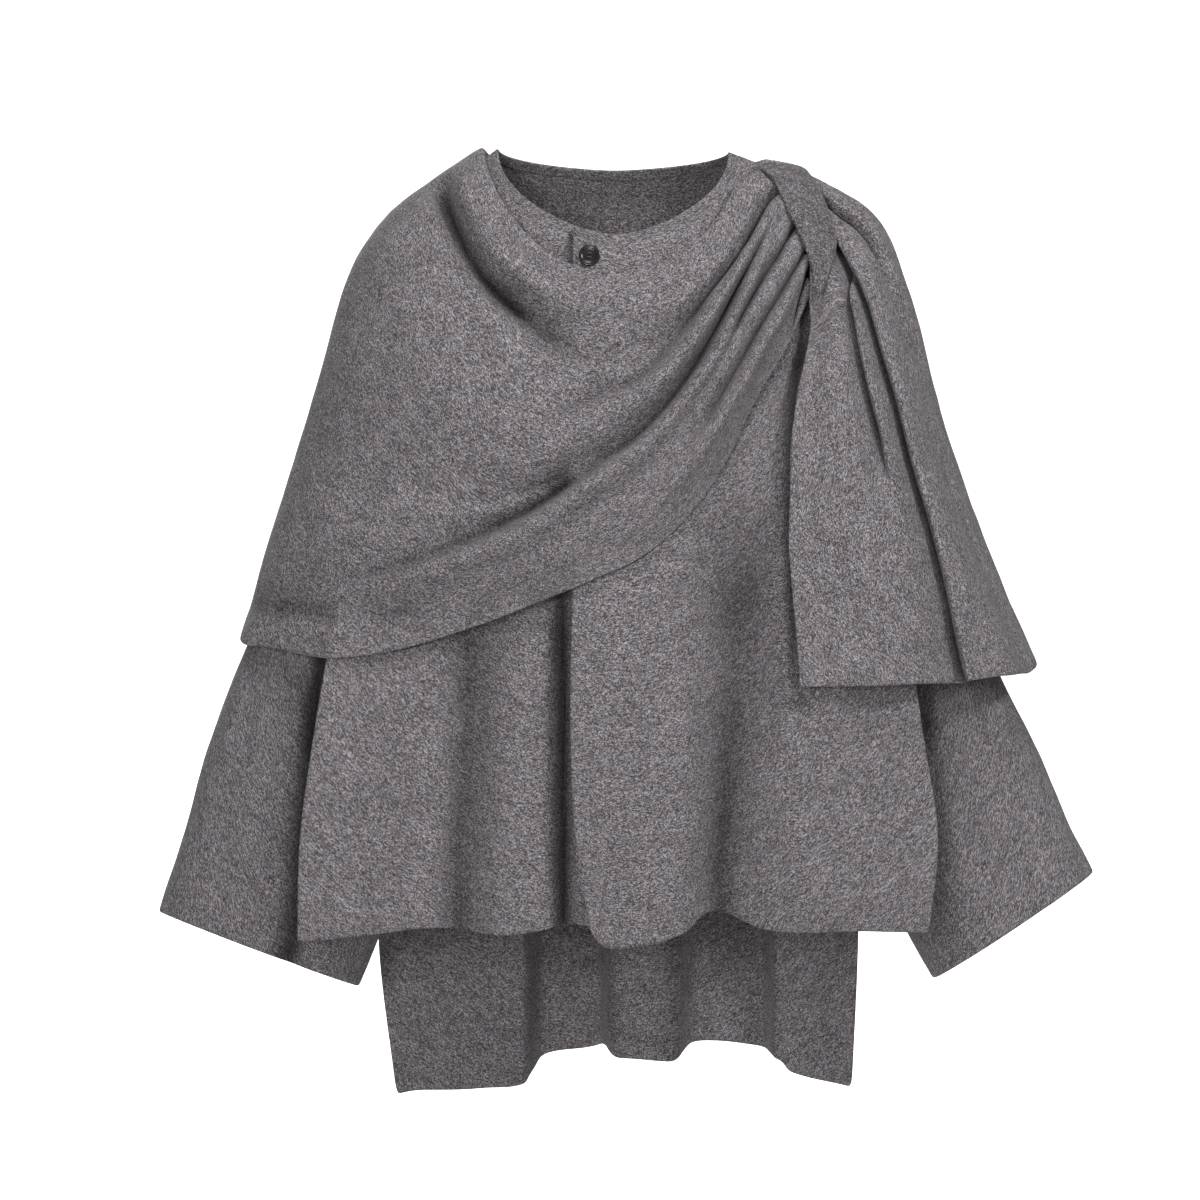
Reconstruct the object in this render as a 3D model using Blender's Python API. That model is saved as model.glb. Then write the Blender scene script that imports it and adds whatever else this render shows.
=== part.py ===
"""Knitted poncho sweater: an open, drop-shoulder cardigan with a shawl gathered under a loop.

The frame is in metres. +X is the wearer's left, -Y is the front and +Z is up. The origin lies between
the two neck-side shoulder points, which is where the garment is held up. Tables give millimetres.
"""
import math
from collections import namedtuple

import bmesh
import bpy
import numpy as np
from mathutils import Matrix, Vector

MM = 0.001

# Cloth
CLOTH = 2.5 * MM              # thickness of the knit
SEAM = 0.7 * MM               # between the edges of two pieces that are sewn together
SHOULDER_SEAM = 1.8 * MM      # the same along the ridge of the shoulder, where the walls bend
BAND_SEAM = 1.0 * MM          # the same below the trim round the neck
SEAT_GAP = 0.3 * MM           # between a piece and the cloth that it lies on
RING_POWER = 0.86             # below 1, rings are fuller than an ellipse

# Fronts
LAP_AT_NECK = 6.0 * MM        # how far the left front stands before the right one
LAP_AT_HEM = 22.0 * MM
LAP_REACH = 0.55              # part of the half front over which the lap fades out
BAND_HEIGHT = 9.0 * MM        # trim round the neck
BAND_SHOULDERS = (0.26, 0.74)  # parts of the trim's length at which it passes the shoulder seams

# Button
BUTTON_RADIUS = 8.25 * MM
BUTTON_THICK = 3.2 * MM
BUTTON_DISH = 0.8 * MM
BUTTON_RIM = 2.2 * MM
BUTTON_HOLE_RADIUS = 1.0 * MM
BUTTON_HOLE_SPACING = 3.4 * MM
BUTTON_ROW = 0.38             # row of FRONT that its middle lies on
BUTTON_X = -20.0 * MM

# Colours
KNIT_GREY = (0.20, 0.195, 0.205, 1.0)
BUTTON_BLACK = (0.012, 0.012, 0.013, 1.0)


def columns(names, *rows):
    """A table's columns by name. Places, whose names end in _x, _y or _z, are turned into metres."""
    values = np.array(rows, float)
    return {name: values[:, i] * (MM if name[-2:] in ("_x", "_y", "_z") else 1.0)
            for i, name in enumerate(names.split())}


# Rows run from the neck edge to the hem. Each is a curve from the middle of the body to its sides,
# turning through `turn` degrees: the middle lies at mid_y, mid_z and the sides at left_* and right_*.
FRONT = columns(
    "mid_y mid_z left_x left_y left_z right_x right_y right_z turn",
    ( -83,  -69,   97,    0,   -6,  -99,    0,   -6, 90),   # neck
    ( -92, -100,  124,    0,  -11, -124,    0,  -19, 90),   # collar
    (-100, -136,  154,    0,  -19, -150,    0,  -34, 90),   # yoke
    (-107, -174,  182,    0,  -33, -175,    0,  -55, 90),   # shoulder
    (-112, -212,  204,    0,  -52, -196,    0,  -80, 88),   # drop of the shoulder
    (-116, -248,  206,  -34,  -90, -201,  -32, -114, 76),   # armhole
    (-119, -284,  207,  -52, -146, -203,  -50, -166, 66),   # chest
    (-122, -322,  208,  -62, -212, -204,  -60, -228, 58),   # side
    (-125, -364,  210,  -74, -284, -206,  -72, -294, 50),   # underarm
    (-128, -416,  226, -102, -360, -220, -100, -366, 42),   # waist
    (-131, -478,  238, -117, -444, -234, -115, -446, 36),   # hip
    (-133, -542,  250, -124, -524, -245, -122, -527, 30),   # thigh
    (-135, -602,  243, -128, -598, -247, -126, -604, 26),   # hem
)
BACK = columns(
    "mid_y mid_z left_x left_y left_z right_x right_y right_z turn",
    (  60,  -21,   97,    0,   -6,  -99,    0,   -6, 90),   # neck
    (  72,  -46,  124,    0,  -11, -124,    0,  -19, 90),   # collar
    (  82,  -86,  154,    0,  -19, -150,    0,  -34, 90),   # yoke
    (  90, -132,  182,    0,  -33, -175,    0,  -55, 90),   # shoulder
    (  95, -180,  204,    0,  -52, -196,    0,  -80, 88),   # drop of the shoulder
    (  98, -226,  206,   32,  -90, -201,   31, -114, 76),   # armhole
    ( 100, -272,  207,   48, -146, -203,   46, -166, 66),   # chest
    ( 101, -318,  208,   56, -212, -204,   54, -228, 58),   # side
    ( 101, -368,  209,   64, -284, -205,   62, -294, 50),   # underarm
    (  96, -440,  207,   76, -372, -202,   75, -378, 44),   # waist
    (  88, -530,  202,   80, -480, -196,   80, -484, 38),   # hip
    (  80, -636,  202,   76, -620, -197,   76, -622, 34),   # thigh
    (  74, -740,  197,   70, -762, -185,   70, -768, 30),   # hem
)
# How far the hems rise or dip from their rows, at places across.
FRONT_HEM = columns(
    "at_x rise_z",
    (-250, -4), (-185, 2), (-150, 7), (-112, 2), (-72, 4), (-50, 7), (-22, 9), (-8, -4),
    (20, -2), (42, 3), (58, 9), (68, 17), (84, 16), (98, 11), (112, 6), (128, 4), (180, 3), (245, -2),
)
BACK_HEM = columns(
    "at_x rise_z",
    (-185, -2), (-150, -8), (-110, -16), (-80, -16), (-68, -8), (-58, 4), (-20, 4), (-6, -2),
    (10, -12), (40, -12), (58, -2), (72, 8), (110, 10), (134, 2), (150, -4), (195, 0),
)
HEM_ROWS = 4.0                # rows above the hem over which its rise fades out
SHOULDER_POWER = 0.8          # below 1, rows leave the middle of the body more steeply
SHOULDER_ROW = 4.0            # where the shoulder ends and the armhole begins
UNDERARM_ROW = 8.0

# Free edges of the two fronts, row by row as in FRONT. The left front laps over the right one.
FREE_EDGES = columns(
    "left_front_x right_front_x",
    (-33, 20), (-33, 20), (-33, 20), (-33, 20), (-33, 20), (-33, 20), (-33, 20),
    (-33, 20), (-34, 20), (-35, 20), (-34, 20), (-30, 18), (-14, 16),
)

# Rows run from the armhole to the cuff. The outer edge is the one away from the body.
SLEEVE_RIGHT = columns(
    "outer_x outer_z inner_x inner_z front_y back_y",
    (-203,  -80, -207, -300,  -68,   60),   # armhole
    (-208, -114, -211, -322,  -60,   56),
    (-219, -170, -211, -356,  -56,   52),
    (-240, -258, -206, -400,  -56,   52),
    (-270, -340, -197, -452,  -60,   55),   # elbow
    (-303, -410, -190, -504,  -68,   62),
    (-328, -474, -185, -560,  -76,   68),
    (-347, -542, -188, -616,  -76,   68),
    (-368, -609, -206, -668,  -74,   66),   # cuff
)
SLEEVE_LEFT = columns(
    "outer_x outer_z inner_x inner_z front_y back_y",
    ( 207,  -54,  211, -292,  -70,   62),   # armhole
    ( 228,  -98,  213, -316,  -56,   58),
    ( 237, -160,  214, -352,  -50,   56),
    ( 252, -248,  213, -400,  -48,   56),
    ( 275, -330,  212, -450,  -54,   58),   # elbow
    ( 307, -410,  213, -502,  -68,   63),
    ( 342, -476,  219, -556,  -76,   68),
    ( 365, -532,  232, -610,  -75,   68),
    ( 383, -576,  256, -660,  -73,   66),   # cuff
)
CUFF_TILT = 0.2               # the cuffs' fronts stand higher than their backs, by this slope
ARMHOLE_GAP = 1.9 * MM        # from the middle of the panels' walls to the sleeve's edge
ARMHOLE_BLEND_ROWS = 1.5      # rows over which the armhole's outline turns into the sleeve's own
UNDERARM_SAG = 12.0 * MM

# Rings of the shawl's form, from the neck down, over the body and the two arms.
CAPE = columns(
    "left_x left_z front_y front_z right_x right_z back_y back_z",
    ( 104,    4, -104,  -88, -105,    5,   76,  -26),   # neck
    ( 150,   -3, -121, -118, -149,  -19,   97,  -44),   # collar
    ( 186,  -24, -133, -172, -185,  -49,  110,  -82),   # shoulder
    ( 219,  -60, -142, -224, -214,  -96,  118, -146),   # arm
    ( 242, -126, -148, -272, -234, -168,  122, -214),   # upper arm
    ( 264, -200, -151, -312, -255, -252,  125, -284),   # middle
    ( 289, -282, -153, -346, -279, -324,  125, -346),   # low
    ( 315, -356, -155, -380, -301, -394,  123, -398),   # elbow
    ( 345, -424, -158, -420, -318, -452,  121, -452),   # forearm
)

CAPE_POWER = 1.5              # above 1, rings stay level round the arms and dip at the front

# Ribs of the shawl, each from its neck edge to its lower edge: degrees round the cape, 0 at the left
# shoulder, 90 at the front, 180 at the right arm and 270 at the back, and a ring of the cape.
SHAWL_FRONT = columns(
    "neck_turn neck_ring low_turn low_ring",
    ( 13.5, 0.47,  40.5, 2.15),   # under the loop
    ( 24.0, 0.05,  51.5, 2.44),
    ( 36.0, 0.00,  62.3, 2.79),
    ( 48.0, 0.00,  70.0, 3.33),
    ( 60.0, 0.00,  78.6, 4.06),
    ( 72.0, 0.00,  87.4, 4.86),   # front
    ( 84.0, 0.00,  96.8, 5.66),
    ( 97.0, 0.00, 108.0, 6.41),
    (111.0, 0.00, 120.4, 6.92),
    (126.0, 0.00, 134.0, 7.05),
    (142.0, 0.00, 149.0, 6.93),
    (160.0, 0.00, 166.0, 6.88),
    (180.0, 0.00, 186.0, 6.85),   # right arm
)
SHAWL_BACK = columns(
    "neck_turn neck_ring low_turn low_ring",
    (180.0, 0.00, 186.0, 6.85),   # right arm
    (200.0, 0.00, 206.0, 6.90),
    (220.0, 0.00, 225.0, 6.80),
    (240.0, 0.00, 242.0, 6.30),
    (258.0, 0.00, 257.0, 5.40),
    (276.0, 0.00, 271.0, 4.40),   # back
    (294.0, 0.00, 284.0, 3.50),
    (312.0, 0.05, 300.0, 2.70),
    (328.0, 0.25, 318.0, 2.00),
    (342.0, 0.45, 336.0, 1.40),   # left shoulder
)
# Rows of the shawl's end, from under the loop down, each from its inner edge to its outer one.
SHAWL_TAIL = columns(
    "outer_turn outer_ring inner_turn inner_ring forward_y",
    ( 13.5, 0.47,  40.5, 2.15,   0),   # under the loop
    ( 10.0, 1.62,  44.0, 2.50,   0),
    (  4.0, 2.50,  48.5, 2.78,  -4),
    (  2.0, 3.24,  53.5, 3.12, -10),
    (  2.0, 4.10,  58.1, 3.70, -15),
    (  1.0, 4.95,  61.0, 4.51, -18),
    (  0.0, 5.78,  63.8, 5.45, -20),
    (  0.0, 6.78,  66.4, 6.55, -22),
    ( -1.0, 7.72,  68.6, 7.62, -24),   # lower edge
)
TAIL_REACH = 0.6              # part of the shawl's end over which it comes forward

# Rows of the loop, with the millimetres by which it stands out from the shawl's form.
STRAP = columns(
    "outer_turn outer_ring inner_turn inner_ring lift",
    (-22.0, 0.90, -26.0, 0.42, -6.2),   # sewn to the back
    ( -6.0, 0.98,  -6.0, 0.36, -11.0),
    (  9.0, 0.98,  10.0, 0.33,  3.0),   # top of the shoulder
    ( 17.3, 1.45,  24.0, 0.45,  3.2),
    ( 22.0, 1.78,  30.0, 0.95,  3.2),
    ( 26.2, 2.06,  33.8, 1.49,  3.2),
    ( 32.0, 2.19,  37.0, 1.92,  3.2),
    ( 39.8, 2.42,  41.0, 2.28,  3.2),   # tip
)

# Large folds. Each is a trough along a line of (place, centre) pairs, fading at both ends, with the
# half width in the centre's unit and the depth in millimetres. On the body a place is a height and a
# centre an x, both in millimetres. On the shawl a place is a rib or a row, and a centre the part of it.
Fold = namedtuple("Fold", "half_width depth line")
FOLD_FADE = 0.2               # part of a fold's length over which each of its ends fades
SHAWL_FOLDS = (
    Fold(0.080, 18, ((6.6, 0.28), (8.3, 0.19), (9.5, 0.15), (10.3, 0.13), (11.8, 0.11))),
    Fold(0.060, 9, ((0.0, 0.26), (1.8, 0.25), (3.5, 0.25), (4.5, 0.29), (5.6, 0.33), (7.0, 0.42))),
    Fold(0.060, 6, ((0.0, 0.50), (1.1, 0.53), (1.8, 0.51), (3.2, 0.46))),
    Fold(0.060, 13, ((2.2, 0.34), (3.5, 0.40), (4.6, 0.44), (5.9, 0.54), (7.4, 0.67), (9.4, 0.86))),
    Fold(0.060, 7, ((1.0, 0.71), (1.7, 0.69), (2.9, 0.65), (3.6, 0.64))),
)
TAIL_FOLDS = (
    Fold(0.07, 6, ((1.1, 0.45), (1.9, 0.62), (3.3, 0.62), (4.3, 0.63), (6.2, 0.76))),
    Fold(0.08, 13, ((0.8, 0.20), (1.2, 0.32), (2.2, 0.48), (3.7, 0.48), (6.2, 0.56), (9.0, 0.62))),
)
FRONT_FOLDS = (
    Fold(26, 14, ((-720, -122), (-500, -114), (-400, -110), (-320, -108))),
    Fold(24, 16, ((-720, 80), (-450, 93), (-330, 98), (-240, 100))),
    Fold(20, 8, ((-720, -42), (-500, -46), (-420, -50))),
)
BACK_FOLDS = (
    Fold(34, 52, ((-900, -35), (-640, -35), (-520, -33), (-400, -30))),
    Fold(36, 42, ((-900, 104), (-640, 104), (-520, 103), (-400, 102))),
)

# Points down and across each piece of cloth
COUNTS = {
    "back": (17, 23), "front": (16, 13), "sleeve": (13, 20), "neckband": (41, 2), "strap": (15, 5),
    "shawl_front": (31, 17), "shawl_back": (13, 17), "shawl_tail": (13, 17),
}


def through(values, at):
    """A smooth curve through a column's values, read at the row numbers `at`."""
    at = np.clip(at, 0, len(values) - 1)
    i = np.minimum(at.astype(int), len(values) - 2)
    t = at - i
    steps = np.abs(np.diff(values))
    limit = 3.0 * np.minimum(np.r_[steps[0], steps], np.r_[steps, steps[-1]])
    slope = np.clip(np.gradient(values), -limit, limit)
    return ((2 * t**3 - 3 * t**2 + 1) * values[i] + (t**3 - 2 * t**2 + t) * slope[i]
            + (3 * t**2 - 2 * t**3) * values[i + 1] + (t**3 - t**2) * slope[i + 1])


def ease(t):
    """0 to 1, level at both ends."""
    t = np.clip(t, 0.0, 1.0)
    return t * t * (3.0 - 2.0 * t)


def mix(a, b, t):
    return a + (b - a) * t


def folds_at(place, centre, folds):
    """How deep the folds are at each point, in metres."""
    depth = np.zeros(place.shape)
    for fold in folds:
        places, centres = zip(*fold.line)
        part = (place - places[0]) / (places[-1] - places[0])
        taper = ease(part / FOLD_FADE) * ease((1.0 - part) / FOLD_FADE)
        away = (centre - np.interp(place, places, centres)) / fold.half_width
        depth += fold.depth * MM * taper * np.exp(-away * away)
    return depth


def body_points(rows, down, across):
    """Points of a body panel at row numbers `down`; across is -1 at its right side, 1 at its left."""
    turn = np.radians(through(rows["turn"], down))
    angle = turn * across
    bend = (1.0 - np.cos(angle)) / (1.0 - np.cos(turn))
    side = {axis: np.where(across > 0, through(rows["left_" + axis], down),
                           through(rows["right_" + axis], down)) for axis in "xyz"}
    mid_y, mid_z = through(rows["mid_y"], down), through(rows["mid_z"], down)
    x = side["x"] * np.sin(np.abs(angle)) / np.sin(turn)
    y = mix(mid_y, side["y"], bend)
    z = mix(mid_z, side["z"], bend**SHOULDER_POWER)
    return np.stack([x, y, z], -1)


def across_at(rows, down, x):
    """Where a front's row passes the place x, as body_points counts across."""
    side_x = np.where(x > 0, through(rows["left_x"], down), -through(rows["right_x"], down))
    turn = np.radians(through(rows["turn"], down))
    return np.arcsin(np.clip(x * np.sin(turn) / side_x, -1, 1)) / turn


def lap(down, across):
    """How far the left front stands forward of the body's form."""
    length = len(FRONT["turn"]) - 1
    reach = mix(LAP_AT_NECK, LAP_AT_HEM, ease(down / length))
    return reach * ease(1.0 - np.maximum(across, 0.0) / LAP_REACH)


def raise_hem(points, rows, down, hem):
    """Lets the hem rise and dip as its table says."""
    near = ease(1.0 - (len(rows["turn"]) - 1 - down) / HEM_ROWS)
    points[..., 2] += np.interp(points[..., 0], hem["at_x"], hem["rise_z"]) * near


def front_points(side, down, part):
    """A front: side is 1 for the left and -1 for the right, part 0 at its free edge, 1 at its side."""
    name = "left_front_x" if side > 0 else "right_front_x"
    edge = across_at(FRONT, down, through(FREE_EDGES[name], down))
    across = mix(edge, side, part)
    points = body_points(FRONT, down, across)
    if side > 0:
        points[..., 1] -= lap(down, across)
    points[..., 1] += folds_at(points[..., 2] / MM, points[..., 0] / MM, FRONT_FOLDS) - SHOULDER_SEAM / 2
    raise_hem(points, FRONT, down, FRONT_HEM)
    return points


def back_points(down, across):
    points = body_points(BACK, down, across)
    points[..., 1] += folds_at(points[..., 2] / MM, points[..., 0] / MM, BACK_FOLDS) + SHOULDER_SEAM / 2
    raise_hem(points, BACK, down, BACK_HEM)
    return points


def armhole_ring(side, around):
    """The sleeve's first ring: down the front's side edge, under the arm and up the back's."""
    edge = np.linspace(SHOULDER_ROW, UNDERARM_ROW, 24)
    front = body_points(FRONT, edge, np.full(24, float(side)))
    back = body_points(BACK, edge, np.full(24, float(side)))
    t = np.linspace(0, 1, 12)[1:-1, None]
    under = mix(front[-1], back[-1], t) - np.array([0, 0, UNDERARM_SAG]) * np.sin(math.pi * t)
    ring = np.concatenate([front, under, back[::-1], front[:1]])
    ring[:, 0] += side * ARMHOLE_GAP
    length = np.r_[0, np.cumsum(np.linalg.norm(np.diff(ring, axis=0), axis=1))]
    return np.stack([np.interp(around * length[-1], length, ring[:, k]) for k in range(3)], -1)


def sleeve_points(rows, side, down, around):
    """A sleeve, from its armhole down; around is 0 at its outer edge and a quarter at its front."""
    angle = 2 * math.pi * around
    outer = [through(rows["outer_x"], down), through(rows["outer_z"], down)]
    inner = [through(rows["inner_x"], down), through(rows["inner_z"], down)]
    swing = (1.0 + np.cos(angle)) / 2
    depth = np.where(np.sin(angle) > 0, through(rows["front_y"], down), -through(rows["back_y"], down))
    tube = np.stack([mix(inner[0], outer[0], swing),
                     depth * np.sign(np.sin(angle)) * np.abs(np.sin(angle))**RING_POWER,
                     mix(inner[1], outer[1], swing)], -1)
    tube[..., 2] -= tube[..., 1] * CUFF_TILT * ease(down / (len(rows["outer_x"]) - 1))
    return mix(armhole_ring(side, around), tube, ease(down / ARMHOLE_BLEND_ROWS)[..., None])


def cape_points(turn, ring, lift):
    """Points of the shawl's form, `lift` outside it."""
    def form(turn, ring):
        c, s = np.cos(np.radians(turn)), np.sin(np.radians(turn))
        column = {name: through(values, ring) for name, values in CAPE.items()}
        rise = np.abs(s)**CAPE_POWER
        x = np.where(c > 0, column["left_x"], column["right_x"]) * np.abs(c)**RING_POWER
        y = np.where(s > 0, column["front_y"], column["back_y"]) * np.abs(s)**RING_POWER
        z = mix(np.where(c > 0, column["left_z"], column["right_z"]),
                np.where(s > 0, column["front_z"], column["back_z"]), rise)
        return np.stack([x, y, z], -1)
    step = 0.4
    round_it = form(turn + step, ring) - form(turn - step, ring)
    down_it = form(turn, ring + step / 4) - form(turn, ring - step / 4)
    normal = np.cross(round_it, down_it)
    normal /= np.linalg.norm(normal, axis=-1, keepdims=True)
    return form(turn, ring) + normal * lift[..., None]


def shawl_points(rows, along, fall, folds=()):
    """The shawl: along counts its ribs, and fall is 0 at the neck edge and 1 at the lower edge."""
    turn = mix(through(rows["neck_turn"], along), through(rows["low_turn"], along), fall)
    ring = mix(through(rows["neck_ring"], along), through(rows["low_ring"], along), fall)
    return cape_points(turn, ring, -folds_at(along, fall, folds))


def tail_points(down, across):
    """The shawl's end: across is 0 at its outer edge and 1 at its inner one."""
    rows = SHAWL_TAIL
    turn = mix(through(rows["outer_turn"], down), through(rows["inner_turn"], down), across)
    ring = mix(through(rows["outer_ring"], down), through(rows["inner_ring"], down), across)
    points = cape_points(turn, ring, -folds_at(down, across, TAIL_FOLDS))
    points[..., 1] += through(rows["forward_y"], down) * ease(across / TAIL_REACH)
    return points


def strap_points(down, across):
    turn = mix(through(STRAP["outer_turn"], down), through(STRAP["inner_turn"], down), across)
    ring = mix(through(STRAP["outer_ring"], down), through(STRAP["inner_ring"], down), across)
    return cape_points(turn, ring, through(STRAP["lift"], down) * MM)


def band_points(around, height):
    """The trim round the neck: around is 0 at its end on the left front, 1 at its end on the right."""
    start = across_at(FRONT, np.zeros(1), FREE_EDGES["left_front_x"][:1])[0]
    stop = -across_at(FRONT, np.zeros(1), FREE_EDGES["right_front_x"][:1])[0]
    across = np.interp(around, (0, *BAND_SHOULDERS, 1), (start, 1, 3, 4 - stop))
    on_back = (across > 1) & (across < 3)
    front_across = np.where(across > 2, across - 4, across)
    def ring(down):
        rows = np.full(around.shape, float(down))
        points = np.where(on_back[..., None], body_points(BACK, rows, 2 - across),
                          body_points(FRONT, rows, front_across))
        points[..., 1] -= np.where(across <= 1, lap(rows, front_across), 0)
        return points
    upward = ring(0) - ring(0.5)
    upward /= np.linalg.norm(upward, axis=-1, keepdims=True)
    return ring(0) + upward * (BAND_SEAM + height)[..., None]


def knit():
    material = bpy.data.materials.new("knit")
    material.use_nodes = True
    shader = material.node_tree.nodes["Principled BSDF"]
    shader.inputs["Base Color"].default_value = KNIT_GREY
    shader.inputs["Roughness"].default_value = 0.95
    return material


def cloth(name, points, closed=False):
    """A wall of cloth round a grid of points; closed joins the grid's last column to its first."""
    count_down, count_across = points.shape[:2]
    mesh = bpy.data.meshes.new(name)
    body = bmesh.new()
    verts = [[body.verts.new(point) for point in row] for row in points.tolist()]
    for i in range(count_down - 1):
        for j in range(count_across if closed else count_across - 1):
            k = (j + 1) % count_across
            body.faces.new((verts[i][j], verts[i + 1][j], verts[i + 1][k], verts[i][k]))
    body.to_mesh(mesh)
    body.free()
    mesh.shade_smooth()
    mesh.materials.append(knit())
    piece = bpy.data.objects.new(name, mesh)
    bpy.context.collection.objects.link(piece)
    wall = piece.modifiers.new("wall", "SOLIDIFY")
    wall.thickness = CLOTH
    wall.offset = 0.0
    return piece


def grid(kind, rows, across):
    """Row numbers and places across for the points of a piece, from its first place to its last one."""
    count_down, count_across = COUNTS[kind]
    last_row = len(next(iter(rows.values()))) - 1
    return np.meshgrid(np.linspace(0, last_row, count_down), np.linspace(*across, count_across), indexing="ij")


def back():
    cloth("back", back_points(*grid("back", BACK, (-1, 1))))


def fronts():
    for name, side in (("front_left", 1), ("front_right", -1)):
        cloth(name, front_points(side, *grid("front", FRONT, (0, 1))))


def sleeves():
    last = 1 - 1 / COUNTS["sleeve"][1]
    for name, rows, side in (("sleeve_left", SLEEVE_LEFT, 1), ("sleeve_right", SLEEVE_RIGHT, -1)):
        cloth(name, sleeve_points(rows, side, *grid("sleeve", rows, (0, last))), closed=True)


def neckband():
    count_along, count_up = COUNTS["neckband"]
    along, up = np.linspace(0, 1, count_along), np.linspace(0, BAND_HEIGHT, count_up)
    cloth("neckband", band_points(*np.meshgrid(along, up, indexing="ij")))


def shawl():
    cloth("shawl_front", shawl_points(SHAWL_FRONT, *grid("shawl_front", SHAWL_FRONT, (0, 1)), SHAWL_FOLDS))
    behind = shawl_points(SHAWL_BACK, *grid("shawl_back", SHAWL_BACK, (0, 1)))
    behind[0] = open_seam(behind)
    cloth("shawl_back", behind)
    tail = tail_points(*grid("shawl_tail", SHAWL_TAIL, (0, 1)))
    tail[0] = open_seam(tail)
    cloth("shawl_tail", tail)


def open_seam(points):
    """A grid's first row, drawn back square to its line by the gap between two sewn edges."""
    line = np.gradient(points[0], axis=0)
    line /= np.linalg.norm(line, axis=-1, keepdims=True)
    inward = points[1] - points[0]
    inward -= line * (inward * line).sum(-1, keepdims=True)
    return points[0] + inward * SEAM / np.linalg.norm(inward, axis=-1, keepdims=True)


def strap():
    cloth("strap", strap_points(*grid("strap", STRAP, (0, 1))))


def turned(name, profile, steps):
    """A closed shape turned round Z from a profile of (radius, height) points."""
    body = bmesh.new()
    verts = [body.verts.new((radius, 0, height)) for radius, height in profile]
    edges = [body.edges.new(pair) for pair in zip(verts, verts[1:])]
    bmesh.ops.spin(body, geom=verts + edges, axis=(0, 0, 1), cent=(0, 0, 0), steps=steps,
                   angle=2 * math.pi)
    bmesh.ops.remove_doubles(body, verts=body.verts, dist=0.01 * MM)
    bmesh.ops.recalc_face_normals(body, faces=body.faces)
    mesh = bpy.data.meshes.new(name)
    body.to_mesh(mesh)
    body.free()
    piece = bpy.data.objects.new(name, mesh)
    bpy.context.collection.objects.link(piece)
    return piece


def button():
    half, rim, dish = BUTTON_THICK / 2, BUTTON_RIM, BUTTON_DISH
    radius, soften = BUTTON_RADIUS, BUTTON_THICK / 5
    piece = turned("button", (
        (0, -half), (radius - soften, -half), (radius, -half + soften), (radius, half - soften),
        (radius - soften, half), (radius - rim, half), (radius - rim - dish, half - dish),
        (0, half - dish)), 32)
    shader_material = bpy.data.materials.new("button_plastic")
    shader_material.use_nodes = True
    shader = shader_material.node_tree.nodes["Principled BSDF"]
    shader.inputs["Base Color"].default_value = BUTTON_BLACK
    shader.inputs["Roughness"].default_value = 0.25
    piece.data.materials.append(shader_material)
    pitch = BUTTON_HOLE_SPACING / 2
    for i, (x, y) in enumerate(((-pitch, -pitch), (pitch, -pitch), (pitch, pitch), (-pitch, pitch))):
        drill = turned(f"drill_{i}", ((0, -2 * half), (BUTTON_HOLE_RADIUS, -2 * half),
                                      (BUTTON_HOLE_RADIUS, 2 * half), (0, 2 * half)), 10)
        drill.location = (x, y, 0)
        drill.parent = piece
        drill.hide_render = True
        drill.display_type = "WIRE"
        cut = piece.modifiers.new(f"hole_{i}", "BOOLEAN")
        cut.object = drill
    place_on_front(piece)


def place_on_front(piece):
    """Lays the button flat on the left front, at its row and place across."""
    down = np.full(3, BUTTON_ROW) + np.array([0, 0.1, 0])
    across = across_at(FRONT, down, np.full(3, BUTTON_X)) + np.array([0, 0, 0.02])
    points = body_points(FRONT, down, across)
    points[:, 1] -= lap(down, across) + SHOULDER_SEAM / 2
    here, lower, beside = (Vector(point) for point in points)
    outward = (lower - here).cross(beside - here).normalized()
    outward = outward if outward.y < 0 else -outward
    turn = outward.to_track_quat("Z", "Y").to_matrix().to_4x4()
    lift = CLOTH / 2 + SEAT_GAP + BUTTON_THICK / 2
    piece.matrix_world = Matrix.Translation(here + outward * lift) @ turn


def main():
    for leftover in list(bpy.data.objects):
        bpy.data.objects.remove(leftover)
    back()
    fronts()
    sleeves()
    neckband()
    shawl()
    strap()
    button()


main()
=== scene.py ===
# Knitted poncho sweater: the finished cloth, button, light and camera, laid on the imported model.
import math
from collections import namedtuple

import bmesh
import bpy
import numpy as np
from mathutils import Matrix, Vector, noise
from mathutils.bvhtree import BVHTree


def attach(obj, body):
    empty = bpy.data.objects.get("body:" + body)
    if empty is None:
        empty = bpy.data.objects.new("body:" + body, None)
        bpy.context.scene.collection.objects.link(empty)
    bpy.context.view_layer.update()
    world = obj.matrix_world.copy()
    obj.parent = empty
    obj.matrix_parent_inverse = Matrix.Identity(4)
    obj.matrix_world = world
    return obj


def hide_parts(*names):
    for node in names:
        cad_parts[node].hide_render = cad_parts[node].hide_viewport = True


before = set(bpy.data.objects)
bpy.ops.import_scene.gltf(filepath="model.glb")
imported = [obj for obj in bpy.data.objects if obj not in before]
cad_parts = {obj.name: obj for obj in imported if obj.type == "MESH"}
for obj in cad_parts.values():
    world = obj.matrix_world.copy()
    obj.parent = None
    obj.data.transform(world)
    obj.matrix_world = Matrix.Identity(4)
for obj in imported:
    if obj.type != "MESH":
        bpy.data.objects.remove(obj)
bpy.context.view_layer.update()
print("frame loaded")

mm = 0.001

# what all the cloth shares
knit = {
    "wall": 2.4 * mm,          # thickness of the knit
    "roundness": 0.86,         # below 1, rings are fuller than an ellipse
    "foldFade": 0.2,           # part of a fold's length over which each end fades
    "ripple": 0.55 * mm,       # how uneven the cloth lies
    "rippleSize": 26 * mm,
    "rippleMix": (0.7, 2.1, 3),    # how its finer waves add up, as noise.fractal counts it
    "creaseBlur": 7,           # over how many points round it a crease is measured for its painted shade
    "creaseDepth": 4.2 * mm,   # a crease this deep gets the darkest painted shade
}


# tables and smooth curves

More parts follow.
